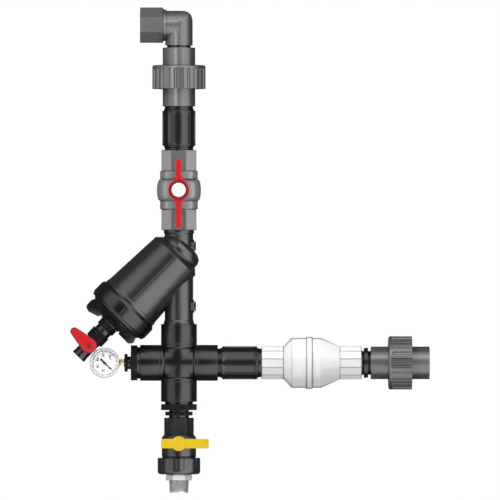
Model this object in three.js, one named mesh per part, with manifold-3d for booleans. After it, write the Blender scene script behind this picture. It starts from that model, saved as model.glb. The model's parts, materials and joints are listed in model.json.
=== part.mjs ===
// A 40 mm (1-1/2 inch) Y-pattern basket strainer made up with the fittings that serve it: an inlet elbow and
// union, an isolating ball valve, a cross with a pressure gauge, a spring check valve and outlet union, and a
// drain valve. Millimetres, +Z up. Water enters at the top elbow, passes through the basket and leaves at the
// right-hand union.
import * as THREE from "three";
import { mergeVertices } from "three/addons/utils/BufferGeometryUtils.js";
import Module from "manifold-3d";

const wasm = await Module();
wasm.setup();

// ---------------------------------------------------------------- driving dimensions
const GAP = 0.3; // clearance between separate pieces
const FLOW_R = 19; // bore of the 40 mm line
const THREAD_R = 24; // outside of the line's male threads
const THREAD_L = 17.5; // length of a male thread inside its socket
const SOCKET_R = THREAD_R + GAP;
const SOCKET_L = 20;
const CLOSE_R = 20.5; // outside of the short close nipples
const CLOSE_SOCKET_R = CLOSE_R + GAP;
const CLOSE_L = 15; // how far a close nipple enters its socket

const ROUND = 16; // facets round a large turned piece
const FINE = 12; // facets round a small one

const CROSS_HALF = 66; // cross centre to each of its four faces
const CROSS_R = 30.5;
const RUN_TOP = 225.6; // top of the strainer's run
const RUN_R = 24.2;
const CANISTER_TURN = 180 + 44; // the canister hangs 44 degrees from the vertical run
const TILT_Z = 187.7; // height at which the canister axis meets the run
const VALVE_L = 136; // isolating valve, face to face
const NIPPLE_NECK = 7.5; // bare neck at each end of a ribbed nipple
const NIPPLE_BARREL = 59.3;
const UNION_L = 99.8; // union, face to face
const ELBOW_Z = 574.1; // height of the inlet elbow's level leg
const CHECK_L = 170.1; // check valve, face to face
const GAUGE_X = 126.2; // run axis to gauge centre
const GAUGE_R = 25.5;

// ---------------------------------------------------------------- materials
function finish(color, roughness, metalness = 0) {
  return new THREE.MeshStandardMaterial({ color, roughness, metalness });
}
const BLACK = finish(0x2b2b2d, 0.5);
const GREY = finish(0x6c6c70, 0.5);
const WHITE = finish(0xe9e9ea, 0.4);
const RED = finish(0xd2232a, 0.4);
const YELLOW = finish(0xe3bd21, 0.45);
const RUBBER = finish(0x161616, 0.8);
const BRASS = finish(0xc9a25a, 0.35, 1);
const STEEL = finish(0xc9cbcd, 0.3, 1);
const GLASS = finish(0xf4f8f8, 0.1);

// ---------------------------------------------------------------- solids
// A closed geometry as a solid that can be joined and cut.
function solid(geometry) {
  const bare = geometry.index ? geometry.toNonIndexed() : geometry.clone();
  bare.deleteAttribute("normal");
  bare.deleteAttribute("uv");
  const merged = mergeVertices(bare, 1e-4);
  return new wasm.Manifold(
    new wasm.Mesh({
      numProp: 3,
      vertProperties: new Float32Array(merged.attributes.position.array),
      triVerts: new Uint32Array(merged.index.array),
    }),
  );
}

// The hole that a faceted round of this radius can turn in.
function turningHole(radius, facets = ROUND) {
  return radius / Math.cos(Math.PI / facets) + GAP;
}

function joined(...solids) {
  return solids.reduce((whole, next) => whole.add(next));
}

// A profile of [radius, z] points turned round the Z axis.
// It starts and ends on the axis, or closes on itself.
function turned(profile, facets = ROUND) {
  const doubledArea = profile.reduce((sum, [r, z], i) => {
    const [nextR, nextZ] = profile[(i + 1) % profile.length];
    return sum + r * nextZ - nextR * z;
  }, 0);
  const outward = doubledArea > 0 ? profile : [...profile].reverse();
  const points = outward.map(([r, z]) => new THREE.Vector2(r, z));
  const onAxis = points.some((p) => p.x === 0);
  if (onAxis) while (points[0].x !== 0 || points.at(-1).x !== 0) points.push(points.shift());
  else points.push(points[0].clone());
  return solid(new THREE.LatheGeometry(points, facets).rotateX(Math.PI / 2));
}

function rod(radius, from, to, facets = ROUND) {
  return turned([[0, from], [radius, from], [radius, to], [0, to]], facets);
}

function tube(outer, inner, from, to, facets = ROUND) {
  return turned([[inner, from], [outer, from], [outer, to], [inner, to]], facets);
}

// A seal ring of four-sided section lying square to Z.
function sealRing(radius, section, z) {
  return turned([
    [radius + section, z], [radius, z + section], [radius - section, z], [radius, z - section],
  ]);
}

// A square or oblong section, centred, for wire and flattened tube.
function oblong(halfWidth, halfHeight) {
  const corners = [[-1, -1], [1, -1], [1, 1], [-1, 1]];
  return new THREE.Shape(corners.map(([x, y]) => new THREE.Vector2(x * halfWidth, y * halfHeight)));
}

function extruded(shape, from, to, curveSegments = 8) {
  const options = { depth: to - from, bevelEnabled: false, curveSegments };
  return solid(new THREE.ExtrudeGeometry(shape, options).translate(0, 0, from));
}

// A regular prism along Z with one flat square to -Y; apothem is half its size across flats.
function prism(sides, apothem, from, to) {
  const radius = apothem / Math.cos(Math.PI / sides);
  const shape = new THREE.Shape();
  for (let k = 0; k < sides; k++) {
    const a = ((k + 0.5) / sides) * 2 * Math.PI - Math.PI / 2;
    shape[k ? "lineTo" : "moveTo"](radius * Math.cos(a), radius * Math.sin(a));
  }
  shape.closePath();
  return extruded(shape, from, to);
}

function box(x0, x1, y0, y1, z0, z1) {
  const geometry = new THREE.BoxGeometry(x1 - x0, y1 - y0, z1 - z0);
  return solid(geometry.translate((x0 + x1) / 2, (y0 + y1) / 2, (z0 + z1) / 2));
}

// A rod that runs forwards, along -Y, from depth y0 to y1, at x and z.
function forwardRod(radius, y0, y1, x = 0, z = 0, facets = FINE) {
  return rod(radius, y0, y1, facets).rotate([90, 0, 0]).translate([x, 0, z]);
}

// A flat outline in X and Z, given thickness forwards from depth y0 to y1.
function plate(shape, y0, y1, curveSegments = 8) {
  return extruded(shape, y0, y1, curveSegments).rotate([90, 0, 0]);
}

function ball(radius, bore) {
  const sphere = solid(new THREE.SphereGeometry(radius, FINE, 8));
  return sphere.subtract(rod(bore, -radius - 1, radius + 1, FINE));
}

function piece(name, shape, material) {
  const { numProp, vertProperties, triVerts } = shape.getMesh();
  const geometry = new THREE.BufferGeometry();
  geometry.setAttribute("position", new THREE.BufferAttribute(vertProperties, numProp));
  geometry.setIndex(new THREE.BufferAttribute(triVerts, 1));
  geometry.computeVertexNormals();
  const mesh = new THREE.Mesh(geometry, material);
  mesh.name = name;
  return mesh;
}

// A sub-assembly whose own +Z runs along the pipe; turn is its rotation about Y in degrees.
function line(x, z, turn, ...pieces) {
  const group = new THREE.Group();
  group.position.set(x, 0, z);
  group.rotation.y = THREE.MathUtils.degToRad(turn);
  group.add(...pieces);
  return group;
}

// ---------------------------------------------------------------- fittings used more than once
// A union from its threaded body's face (z 0) to its tail's face; the nut bears on the tail's flange.
function union(prefix) {
  const socketOuter = 27.7;
  const headR = 40;
  const nutR = 45.3;
  const nutFrom = 29.8;
  const nutTo = 70.1;
  const headFrom = 31.5;
  const face = 49.6; // where the body meets the tail
  const grooveR = 31;
  const grooveHalf = 2.2;
  const grooveFloor = 46.2;
  const flangeR = 37;
  const flangeTo = 58;
  const body = turned([
    [SOCKET_R, 0], [socketOuter, 0], [socketOuter, headFrom], [headR, headFrom], [headR, face],
    [grooveR + grooveHalf, face], [grooveR + grooveHalf, grooveFloor], [grooveR - grooveHalf, grooveFloor],
    [grooveR - grooveHalf, face], [FLOW_R, face], [FLOW_R, SOCKET_L], [SOCKET_R, SOCKET_L],
  ]);
  const tail = turned([
    [FLOW_R, face + GAP], [flangeR, face + GAP], [flangeR, flangeTo], [socketOuter, flangeTo],
    [socketOuter, UNION_L], [CLOSE_SOCKET_R, UNION_L], [CLOSE_SOCKET_R, UNION_L - CLOSE_L - 1],
    [FLOW_R, UNION_L - CLOSE_L - 1],
  ]);
  const nut = rod(nutR, nutFrom, nutTo)
    .subtract(rod(turningHole(headR), nutFrom - 1, flangeTo + GAP))
    .subtract(rod(turningHole(socketOuter), flangeTo, nutTo + 1));
  const sealSection = 1.55;
  const sealZ = grooveFloor + sealSection + 0.2;
  return [
    piece(`${prefix}_union_body`, body, GREY),
    piece(`${prefix}_union_tail`, tail, GREY),
    piece(`${prefix}_union_nut`, nut, GREY),
    piece(`${prefix}_union_seal`, sealRing(grooveR, sealSection, sealZ), RUBBER),
  ];
}

// A ribbed nipple; its visible part runs from z 0 and a male thread reaches past each end.
function ribbedNipple(name) {
  const length = NIPPLE_BARREL + 2 * NIPPLE_NECK;
  const barrel = rod(28.2, NIPPLE_NECK, NIPPLE_NECK + NIPPLE_BARREL);
  const through = rod(FLOW_R, -THREAD_L - 1, length + THREAD_L + 1);
  const neck = rod(THREAD_R, -THREAD_L, length + THREAD_L);
  return piece(name, joined(barrel, neck).subtract(through), BLACK);
}

// ---------------------------------------------------------------- inlet elbow
function inletElbow() {
  const levelR = 24.5;
  const uprightR = 23.3;
  const foot = 539.8 - ELBOW_Z; // lower face, measured from the level leg's axis
  const hubEnd = -66;
  const hubApothem = 29.8;
  const hubTo = -27;
  const neckFrom = -21.6;
  const cornerR = 20;
  const outline = new THREE.Shape(); // front outline with its rounded outer corner
  outline.moveTo(hubEnd - 1, foot);
  outline.lineTo(uprightR, foot);
  outline.lineTo(uprightR, levelR - cornerR);
  outline.absarc(uprightR - cornerR, levelR - cornerR, cornerR, 0, Math.PI / 2);
  outline.lineTo(hubEnd - 1, levelR);
  outline.closePath();
  const level = rod(levelR, -uprightR, 35).rotate([0, -90, 0]);
  const upright = rod(uprightR, foot, levelR);
  const past = 60;
  const rightHalf = box(0, past, -past, past, -past, past);
  const upperHalf = box(-past, past, -past, past, 0, past);
  const levelLeg = level.subtract(rightHalf);
  const uprightLeg = upright.subtract(upperHalf);
  const corner = level.intersect(upright);
  const bend = joined(levelLeg, uprightLeg, corner).intersect(plate(outline, -past, past, 5));
  const hub = joined(
    prism(8, hubApothem, -hubTo - 0.1, -hubEnd),
    turned([[0, -hubTo], [hubApothem, -hubTo], [levelR + 2, -neckFrom], [0, -neckFrom]]),
  );
  const bores = joined(
    rod(FLOW_R, 0, past).rotate([0, -90, 0]),
    rod(FLOW_R - 2, foot - 1, 0),
    solid(new THREE.SphereGeometry(FLOW_R, FINE, 8)),
    rod(SOCKET_R, -hubEnd - SOCKET_L, -hubEnd + 1).rotate([0, -90, 0]),
    rod(CLOSE_SOCKET_R, foot - 1, foot + CLOSE_L + 1),
  );
  const shape = joined(bend, hub.rotate([0, -90, 0])).subtract(bores);
  return piece("inlet_elbow", shape, GREY);
}

// ---------------------------------------------------------------- isolating ball valve, from its lower face
function isolatingValve() {
  const middle = VALVE_L / 2;
  const hubApothem = 29.6;
  const bandR = 32;
  const bandFrom = 35.9;
  const bandTo = 101.5;
  const housing = [[33, 49.8], [36, 57], [37.4, middle], [36, 79], [33, 86.4]];
  const split = 86.4; // the end piece is bonded on here
  const cavityR = 29;
  const cavityHalf = 23.3;
  const bonnetTo = 40;
  const stemR = 7;

  const bodyOuter = joined(
    prism(8, hubApothem, 0, bandFrom + 1),
    turned([[0, bandFrom], [bandR, bandFrom], [bandR, 49.8], ...housing, [0, split]]),
    forwardRod(14, 25, bonnetTo, 0, middle),
  );
  const body = bodyOuter
    .subtract(rod(SOCKET_R, -1, SOCKET_L))
    .subtract(rod(FLOW_R, 0, middle))
    .subtract(rod(cavityR, middle - cavityHalf, split + 1))
    .subtract(forwardRod(stemR + 0.5, 10, bonnetTo + 1, 0, middle));
  const end = joined(rod(bandR, split + GAP, bandTo), prism(8, hubApothem, bandTo - 1, VALVE_L))
    .subtract(rod(SOCKET_R, VALVE_L - SOCKET_L, VALVE_L + 1))
    .subtract(rod(FLOW_R, middle, VALVE_L))
    .subtract(rod(cavityR, middle, middle + cavityHalf));

  const seatR = cavityR - GAP;
  const seat = [[19.5, 18.8], [23.4, 13.8], [seatR, 13.8], [seatR, 23], [19.5, 23]];
  const tongue = 3; // half thickness of the stem's drive tongue
  const ballR = 26;
  const ballShape = ball(ballR, FLOW_R).subtract(box(-tongue - GAP, tongue + GAP, -ballR - 1, -21.5, -7, 7));
  const square = 4.5; // half of the stem's drive square
  const stem = joined(
    forwardRod(stemR, 27.2, 41),
    box(-tongue, tongue, -28, -22, -6, 6),
    box(-square, square, -50, -40, -square, square),
  );

  const barUp = 51.5; // the bar's two arms are not equally long
  const barDown = 63.7;
  const barHalf = 5.2;
  const hubR = 18.2;
  const discR = 12;
  const handle = joined(
    forwardRod(hubR, 41.3, 58, 0, 0, ROUND),
    box(-barHalf, barHalf, -58, -46, -barDown, barUp),
  )
    .subtract(forwardRod(discR + GAP, 56.4, 59, 0, 0, ROUND))
    .subtract(box(-square - GAP, square + GAP, -50.5, -41, -square - GAP, square + GAP));
  const disc = forwardRod(discR, 56.7, 59, 0, 0, ROUND);

  const turning = [
    piece("isolating_valve_ball", ballShape, WHITE),
    piece("isolating_valve_stem", stem, GREY),
    piece("isolating_valve_handle", handle, RED),
    piece("isolating_valve_handle_disc", disc, WHITE),
    piece("isolating_valve_seat_upper", turned(seat), WHITE),
    piece("isolating_valve_seat_lower", turned(seat.map(([r, z]) => [r, -z])), WHITE),
  ];
  turning.forEach((mesh) => mesh.position.set(0, 0, middle));
  return [
    piece("isolating_valve_body", body, GREY),
    piece("isolating_valve_end", end, GREY),
    ...turning,
  ];
}

// ---------------------------------------------------------------- strainer
// Positions along the canister axis are measured from where it meets the run.
const HEAD_CHAMFER = 9; // where the chamfer round the canister's head ends
const HEAD_R = 47;
const SKIRT_FROM = 121.3;
const SKIRT_R = 54.3; // outside of the canister beside the cap's skirt
const MOUTH = 144; // open end of the canister
const CAP_FACE = 151;
const HUB_FACE = 170.3; // face of the cap's flush port
const MOUTH_R = 52; // outside of the canister's cap thread
const BASKET_FROM = 20.3;
const BASKET_TO = 138;

function alongCanister(shape) {
  return shape.rotate([0, CANISTER_TURN, 0]).translate([0, 0, TILT_Z]);
}

function strainerBody() {
  const run = turned([
    [0, CROSS_HALF - THREAD_L], [THREAD_R, CROSS_HALF - THREAD_L], [THREAD_R, CROSS_HALF + GAP],
    [25.8, CROSS_HALF + GAP], [25.8, CROSS_HALF + 4], [RUN_R, CROSS_HALF + 7], [RUN_R, RUN_TOP - 7],
    [25.8, RUN_TOP - 4], [25.8, RUN_TOP - GAP], [THREAD_R, RUN_TOP - GAP], [THREAD_R, RUN_TOP + THREAD_L],
    [0, RUN_TOP + THREAD_L],
  ]);
  const canister = turned([
    [0, -19.8], [18, -19.8], [25.5, -18.4], [33.7, -14.2], [37, -7], [37.6, 0], [38.6, 0],
    [HEAD_R, HEAD_CHAMFER], [SKIRT_R, SKIRT_FROM - GAP], [MOUTH_R, SKIRT_FROM - GAP], [MOUTH_R, MOUTH],
    [0, MOUTH],
  ], ROUND + 4);
  const cavity = joined(
    rod(28, -6, 16.5),
    rod(27, 16, 21),
    turned([[0, 20], [43.4, 20], [48.4, 110], [48.4, MOUTH + 1], [0, MOUTH + 1]], ROUND + 4),
  );
  const portZ = [198.5, 96]; // pressure test ports on the right-hand side of the run
  const bosses = portZ.map((z) => rod(11, 10, 26, FINE).rotate([0, 90, 0]).translate([0, 0, z]));
  const ports = portZ.map((z) => rod(4.6, 10, 27, FINE).rotate([0, 90, 0]).translate([0, 0, z]));
  const shape = joined(run, alongCanister(canister), ...bosses)
    .subtract(alongCanister(cavity))
    .subtract(rod(FLOW_R, 0, 142))
    .subtract(rod(FLOW_R, 195, RUN_TOP + THREAD_L + 1))
    .subtract(joined(...ports));
  const plug = joined(rod(4.3, 17, 27, 12), prism(6, 7, 26.3, 28.8)).rotate([0, 90, 0]);
  return [
    piece("strainer_body", shape, BLACK),
    piece("strainer_test_plug_upper", plug.translate([0, 0, portZ[0]]), BLACK),
    piece("strainer_test_plug_lower", plug.translate([0, 0, portZ[1]]), BLACK),
  ];
}

function strainerCap() {
  const portR = 10.3;
  const threadR = turningHole(MOUTH_R);
  const shell = turned([
    [threadR, SKIRT_FROM], [SKIRT_R + 0.8, SKIRT_FROM], [59, SKIRT_FROM + 5], [59, CAP_FACE - 4.5],
    [55, CAP_FACE], [51, CAP_FACE + 2.5], [44, 159], [30, 166], [19, 168.5], [19, HUB_FACE],
    [portR, HUB_FACE], [portR, 155],
    [8, 155], [8, 152], [30, 152], [30, BASKET_TO + GAP], [34, BASKET_TO + GAP], [34, 149], [38, 147.3],
    [threadR, 147.3],
  ], ROUND + 4);
  const wing = (crown) => { // a finger wing, in X and along the axis; crown is how far out it reaches
    const outline = new THREE.Shape();
    outline.moveTo(18, 158);
    outline.lineTo(47, CAP_FACE + 1);
    outline.lineTo(50.8, 163);
    outline.quadraticCurveTo(51.5, crown - 1.5, 42, crown);
    outline.lineTo(22, 171);
    outline.closePath();
    return plate(outline, -6.5, 6.5, 4);
  };
  const clear = rod(19.5, HUB_FACE, 180); // keeps the wings off the port's face
  const shape = joined(shell, wing(179), wing(171.5).rotate([0, 0, 180])).subtract(clear);
  return piece("strainer_cap", shape, BLACK);
}

function strainerBasket() {
  const screenR = 39.5;
  const ribR = 41.2;
  const ring = (from, to) => tube(ribR, screenR + GAP, from, to);
  const ribs = [0, 1, 2, 3].map((k) =>
    box(screenR + GAP, ribR, -2, 2, BASKET_FROM + 7, BASKET_TO).rotate([0, 0, 90 * k + 45]),
  );
  const frame = joined(
    ring(64, 68),
    ring(100, 104),
    tube(ribR, 12, BASKET_TO - 4, BASKET_TO),
    ...ribs,
  );
  const screen = tube(screenR, screenR - 0.8, BASKET_FROM + 7.3, BASKET_TO - 4 - GAP);
  return [
    piece("strainer_basket_frame", frame, BLACK),
    piece("strainer_basket_screen", screen, STEEL),
    piece("strainer_basket_seat_ring", tube(ribR, 27.5, BASKET_FROM, BASKET_FROM + 6.7), RUBBER),
    piece("strainer_cap_seal", sealRing(50.2, 1.4, MOUTH + 1.65), RUBBER),
  ];
}

// ---------------------------------------------------------------- flush valve on the strainer's cap
const FLUSH_PIVOT = 219.6;

function flushValve() {
  const threadR = 10;
  const nippleFrom = HUB_FACE + GAP;
  const bodyFrom = 189.7;
  const outlet = 246.4;
  const barrelR = 12.6;
  const nipple = joined(
    rod(threadR, 157, 203, FINE),
    prism(6, 14.7, nippleFrom, 181),
    rod(14.5, 180, bodyFrom - GAP),
  ).subtract(rod(7, 150, 210, FINE));
  const body = joined(
    prism(6, 14.5, bodyFrom, 207.5),
    rod(barrelR, 207, outlet),
    forwardRod(7.5, 6, 16, 0, FLUSH_PIVOT),
  )
    .subtract(rod(threadR + GAP, bodyFrom - 1, 204, FINE))
    .subtract(rod(6.5, 203, 240, FINE))
    .subtract(rod(10.6, FLUSH_PIVOT - 9, FLUSH_PIVOT + 9, FINE))
    .subtract(rod(threadR, 233, outlet + 1, FINE))
    .subtract(forwardRod(3.9, 3, 17, 0, FLUSH_PIVOT, 12));

  const ballShape = ball(10, 6.5).rotate([0, 90, 0]).subtract(box(-5, 5, -11, -8.4, -1.8, 1.8));
  const stem = joined(
    forwardRod(3.5, 10.6, 17, 0, 0, 12),
    box(-3.2, 3.2, -10.9, -8.8, -1.5, 1.5),
    box(-2.4, 2.4, -22, -16.5, -2.4, 2.4),
  );
  const reach = 34.5;
  const bigR = 13.5;
  const tipR = 7;
  const flank = Math.acos((bigR - tipR) / reach); // where the straight sides touch the two round ends
  const drop = new THREE.Shape();
  drop.absarc(0, 0, bigR, flank, 2 * Math.PI - flank);
  drop.absarc(reach, 0, tipR, -flank, flank);
  drop.closePath();
  const handle = plate(drop, 17.3, 23, 10)
    .subtract(box(-2.7, 2.7, -22.3, -17, -2.7, 2.7))
    .subtract(forwardRod(2, 21, 24, 0, 0, 12));
  const screw = joined(forwardRod(1.7, 22.3, 24, 0, 0, 12), forwardRod(3.6, 23.3, 25.3, 0, 0, 12));

  const turning = [
    piece("flush_valve_ball", ballShape, BRASS),
    piece("flush_valve_stem", stem, BRASS),
    piece("flush_valve_handle", handle, RED),
    piece("flush_valve_handle_screw", screw, STEEL),
  ];
  turning.forEach((mesh) => mesh.position.set(0, 0, FLUSH_PIVOT));
  return [piece("flush_valve_nipple", nipple, BLACK), piece("flush_valve_body", body, BLACK), ...turning];
}

// ---------------------------------------------------------------- cross
function cross() {
  const waistR = 28.6;
  const hubFrom = 28;
  const waistTo = 25;
  const arm = turned([
    [0, -CROSS_HALF], [CROSS_R, -CROSS_HALF], [CROSS_R, -hubFrom], [waistR, -waistTo],
    [waistR, waistTo], [CROSS_R, hubFrom], [CROSS_R, CROSS_HALF], [0, CROSS_HALF],
  ]);
  const bore = joined(
    rod(FLOW_R + 1, -CROSS_HALF, CROSS_HALF),
    rod(SOCKET_R, CROSS_HALF - SOCKET_L, CROSS_HALF + 1),
    rod(SOCKET_R, -CROSS_HALF - 1, SOCKET_L - CROSS_HALF),
  );
  const both = (shape) => joined(shape, shape.rotate([0, 90, 0]));
  return piece("cross_fitting", both(arm).subtract(both(bore)), BLACK);
}

// ------------------------------------------------ gauge branch, +Z pointing left from the cross
function gaugeBranch() {
  const headFrom = CROSS_HALF + 5.1;
  const headTo = 81.6;
  const bushing = joined(
    rod(THREAD_R, CROSS_HALF - THREAD_L, CROSS_HALF + 1),
    rod(27, CROSS_HALF + GAP, headFrom + 1),
    prism(8, 29.7, headFrom, headTo),
  ).subtract(rod(9.3, 40, headTo + 1, FINE));
  const reducer = joined(
    rod(9, 70, headTo + 1, FINE),
    rod(10.8, headTo + GAP, 88, FINE),
    prism(8, 15, 87.2, 92.5),
  ).subtract(rod(5.3, 69, 93, 16));
  const caseEdge = GAUGE_X - GAUGE_R;
  const socket = joined(
    rod(5, 78, 93, 16),
    box(-7, 7, -6, 7, 92.8, caseEdge - GAP),
    rod(4.5, 100, GAUGE_X - 13, 16),
  ).subtract(rod(1.5, 77, GAUGE_X - 20, 12));
  return [
    piece("gauge_bushing", bushing, BLACK),
    piece("gauge_reducer", reducer, BLACK),
    piece("gauge_socket", socket, BRASS),
  ];
}

// The gauge about its own centre. Its dial faces -Y and its socket enters from +X.
function gauge() {
  const back = 12;
  const rim = -9;
  const wall = 1.5;
  const dialY = 7.3; // front face of the dial, forwards of the centre
  const lathe = (profile) => turned(profile).rotate([90, 0, 0]);
  const cup = lathe([
    [0, -back], [GAUGE_R - 2, -back], [GAUGE_R, -back + 2], [GAUGE_R, -rim], [GAUGE_R - wall, -rim],
    [GAUGE_R - wall, -back + wall], [0, -back + wall],
  ]).subtract(rod(4.9, 15, 30, 16).rotate([0, 90, 0]));
  const bezel = lathe([
    [23.2, -rim + GAP], [GAUGE_R, -rim + GAP], [GAUGE_R, 12.8], [GAUGE_R - 1.2, 14], [21.5, 14],
    [21.5, 12.9], [23.2, 12.9],
  ]);
  const dial = lathe([[1.9, dialY - 0.8], [23.4, dialY - 0.8], [23.4, dialY], [1.9, dialY]]);

  const needle = new THREE.Shape(); // points along +X
  needle.moveTo(-9.5, -1.6);
  needle.lineTo(-5, -0.9);
  needle.lineTo(18.5, -0.35);
  needle.lineTo(18.5, 0.35);
  needle.lineTo(-5, 0.9);
  needle.lineTo(-9.5, 1.6);
  needle.closePath();
  const pinionR = 1.4;
  const pointer = joined(
    plate(needle, 8.1, 8.8),
    forwardRod(2.6, 8, 9.6, 0, 0, 16),
    forwardRod(1.1, 2, 9, 0, 0, 12),
    forwardRod(pinionR, 2.2, 4.8, 0, 0, 12),
  ).rotate([0, 45, 0]);

  const sectorR = 14; // ten times the pinion's radius
  const pivot = sectorR + pinionR + GAP;
  const half = THREE.MathUtils.degToRad(17);
  const swing = THREE.MathUtils.degToRad(27);
  const fan = new THREE.Shape();
  fan.moveTo(-6, -1.5);
  fan.lineTo(2, -2.2);
  fan.lineTo(sectorR * Math.cos(half), -sectorR * Math.sin(half));
  fan.absarc(0, 0, sectorR, -half, half);
  fan.lineTo(2, 2.2);
  fan.lineTo(-6, 1.5);
  fan.closePath();
  const sector = plate(fan, 2.6, 4.2)
    .rotate([0, THREE.MathUtils.radToDeg(swing / 2), 0])
    .translate([-pivot, 0, 0]);

  const coil = new THREE.EllipseCurve(0, 0, 17, 17, 0.36, Math.PI * 1.42);
  const path = new THREE.CatmullRomCurve3(coil.getPoints(14).map((p) => new THREE.Vector3(p.x, 0, p.y)));
  const alongCoil = { extrudePath: path, steps: 18, bevelEnabled: false };
  const bourdon = solid(new THREE.ExtrudeGeometry(oblong(2.5, 1.2), alongCoil).translate(0, 5.5, 0));
  return [
    piece("gauge_case", cup, STEEL),
    piece("gauge_bezel", bezel, STEEL),
    piece("gauge_lens", forwardRod(22.9, 11.2, 12.6, 0, 0, ROUND), GLASS),
    piece("gauge_dial", dial, WHITE),
    piece("gauge_pointer", pointer, RUBBER),
    piece("gauge_sector", sector, BRASS),
    piece("gauge_bourdon_tube", bourdon, BRASS),
  ];
}

// ---------------------------------------------------------------- check valve, from its left face
function checkValve() {
  const hubApothem = 27.7;
  const bodyR = 42.4;
  const hubTo = 37.4;
  const shoulder = 51.1;
  const split = 81.2;
  const cone = 101.1;
  const hub2From = 133.4;
  const seatZ = 52;
  const boreR = 38.5;
  const inlet = joined(
    prism(12, hubApothem, 0, hubTo + 1),
    turned([
      [0, hubTo - 1], [hubApothem - 0.5, hubTo - 1], [28.5, hubTo], [bodyR, shoulder], [bodyR, split],
      [0, split],
    ]),
  )
    .subtract(rod(SOCKET_R, -1, SOCKET_L))
    .subtract(rod(FLOW_R, 10, seatZ + 1))
    .subtract(rod(boreR, seatZ, split + 1));
  const outer = joined(
    turned([
      [0, split + GAP], [bodyR, split + GAP], [bodyR, cone], [28.5, hub2From], [27.2, hub2From + 1],
      [0, hub2From + 1],
    ]),
    prism(12, hubApothem, hub2From - 1, CHECK_L),
  ).subtract(
    turned([
      [0, split - 1], [boreR, split - 1], [boreR, cone - 1], [FLOW_R, 128], [FLOW_R, 152],
      [CLOSE_SOCKET_R, 152], [CLOSE_SOCKET_R, CHECK_L + 1], [0, CHECK_L + 1],
    ]),
  );
  const guideFrom = 93;
  const arm = box(-boreR - 1, boreR + 1, -2, 2, guideFrom, guideFrom + 5);
  const arms = [0, 60, 120].map((turn) => arm.rotate([0, 0, turn]));
  const boss = rod(8, guideFrom - 2, guideFrom + 9, FINE);
  const guide = joined(...arms, boss).subtract(rod(3.6, 80, 110, FINE));
  const poppet = joined(
    turned([[0, seatZ - 4], [14, seatZ - 4], [14, 55], [25, 55], [25, 59], [10, 62], [7, 66], [0, 66]]),
    rod(3.2, 65, 99, 12),
  );
  const poppetSeal = tube(23, 14.3, seatZ + GAP, 54.7);
  const coils = 4;
  const perCoil = 8;
  const springFrom = 67.5;
  const springTo = guideFrom - 3.2;
  const turns = [...Array(coils * perCoil + 1).keys()].map((k) => {
    const a = (k / perCoil) * 2 * Math.PI;
    const along = springFrom + ((springTo - springFrom) * k) / (coils * perCoil);
    return new THREE.Vector3(5.6 * Math.cos(a), 5.6 * Math.sin(a), along);
  });
  const helix = new THREE.CatmullRomCurve3(turns);
  const alongHelix = { extrudePath: helix, steps: coils * perCoil, bevelEnabled: false };
  const spring = solid(new THREE.ExtrudeGeometry(oblong(0.7, 0.7), alongHelix));
  return [
    piece("check_valve_inlet_body", inlet, WHITE),
    piece("check_valve_outlet_body", joined(outer, guide), WHITE),
    piece("check_valve_band", tube(44.2, bodyR + GAP, 76.1, 86.5), WHITE),
    piece("check_valve_poppet", poppet, WHITE),
    piece("check_valve_poppet_seal", poppetSeal, RUBBER),
    piece("check_valve_spring", spring, STEEL),
  ];
}

// A short close nipple; its visible part runs from z 0 to length.
function closeNipple(name, length, collarR = 0) {
  const neck = tube(CLOSE_R, FLOW_R - 2, -CLOSE_L, length + CLOSE_L);
  const whole = collarR ? neck.add(tube(collarR, CLOSE_R - 1, length * 0.25, length * 0.7)) : neck;
  return piece(name, whole, BLACK);
}

// ------------------------------------------------ drain branch, +Z pointing down from the cross centre
const DRAIN_PIVOT = 136.4;

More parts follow.
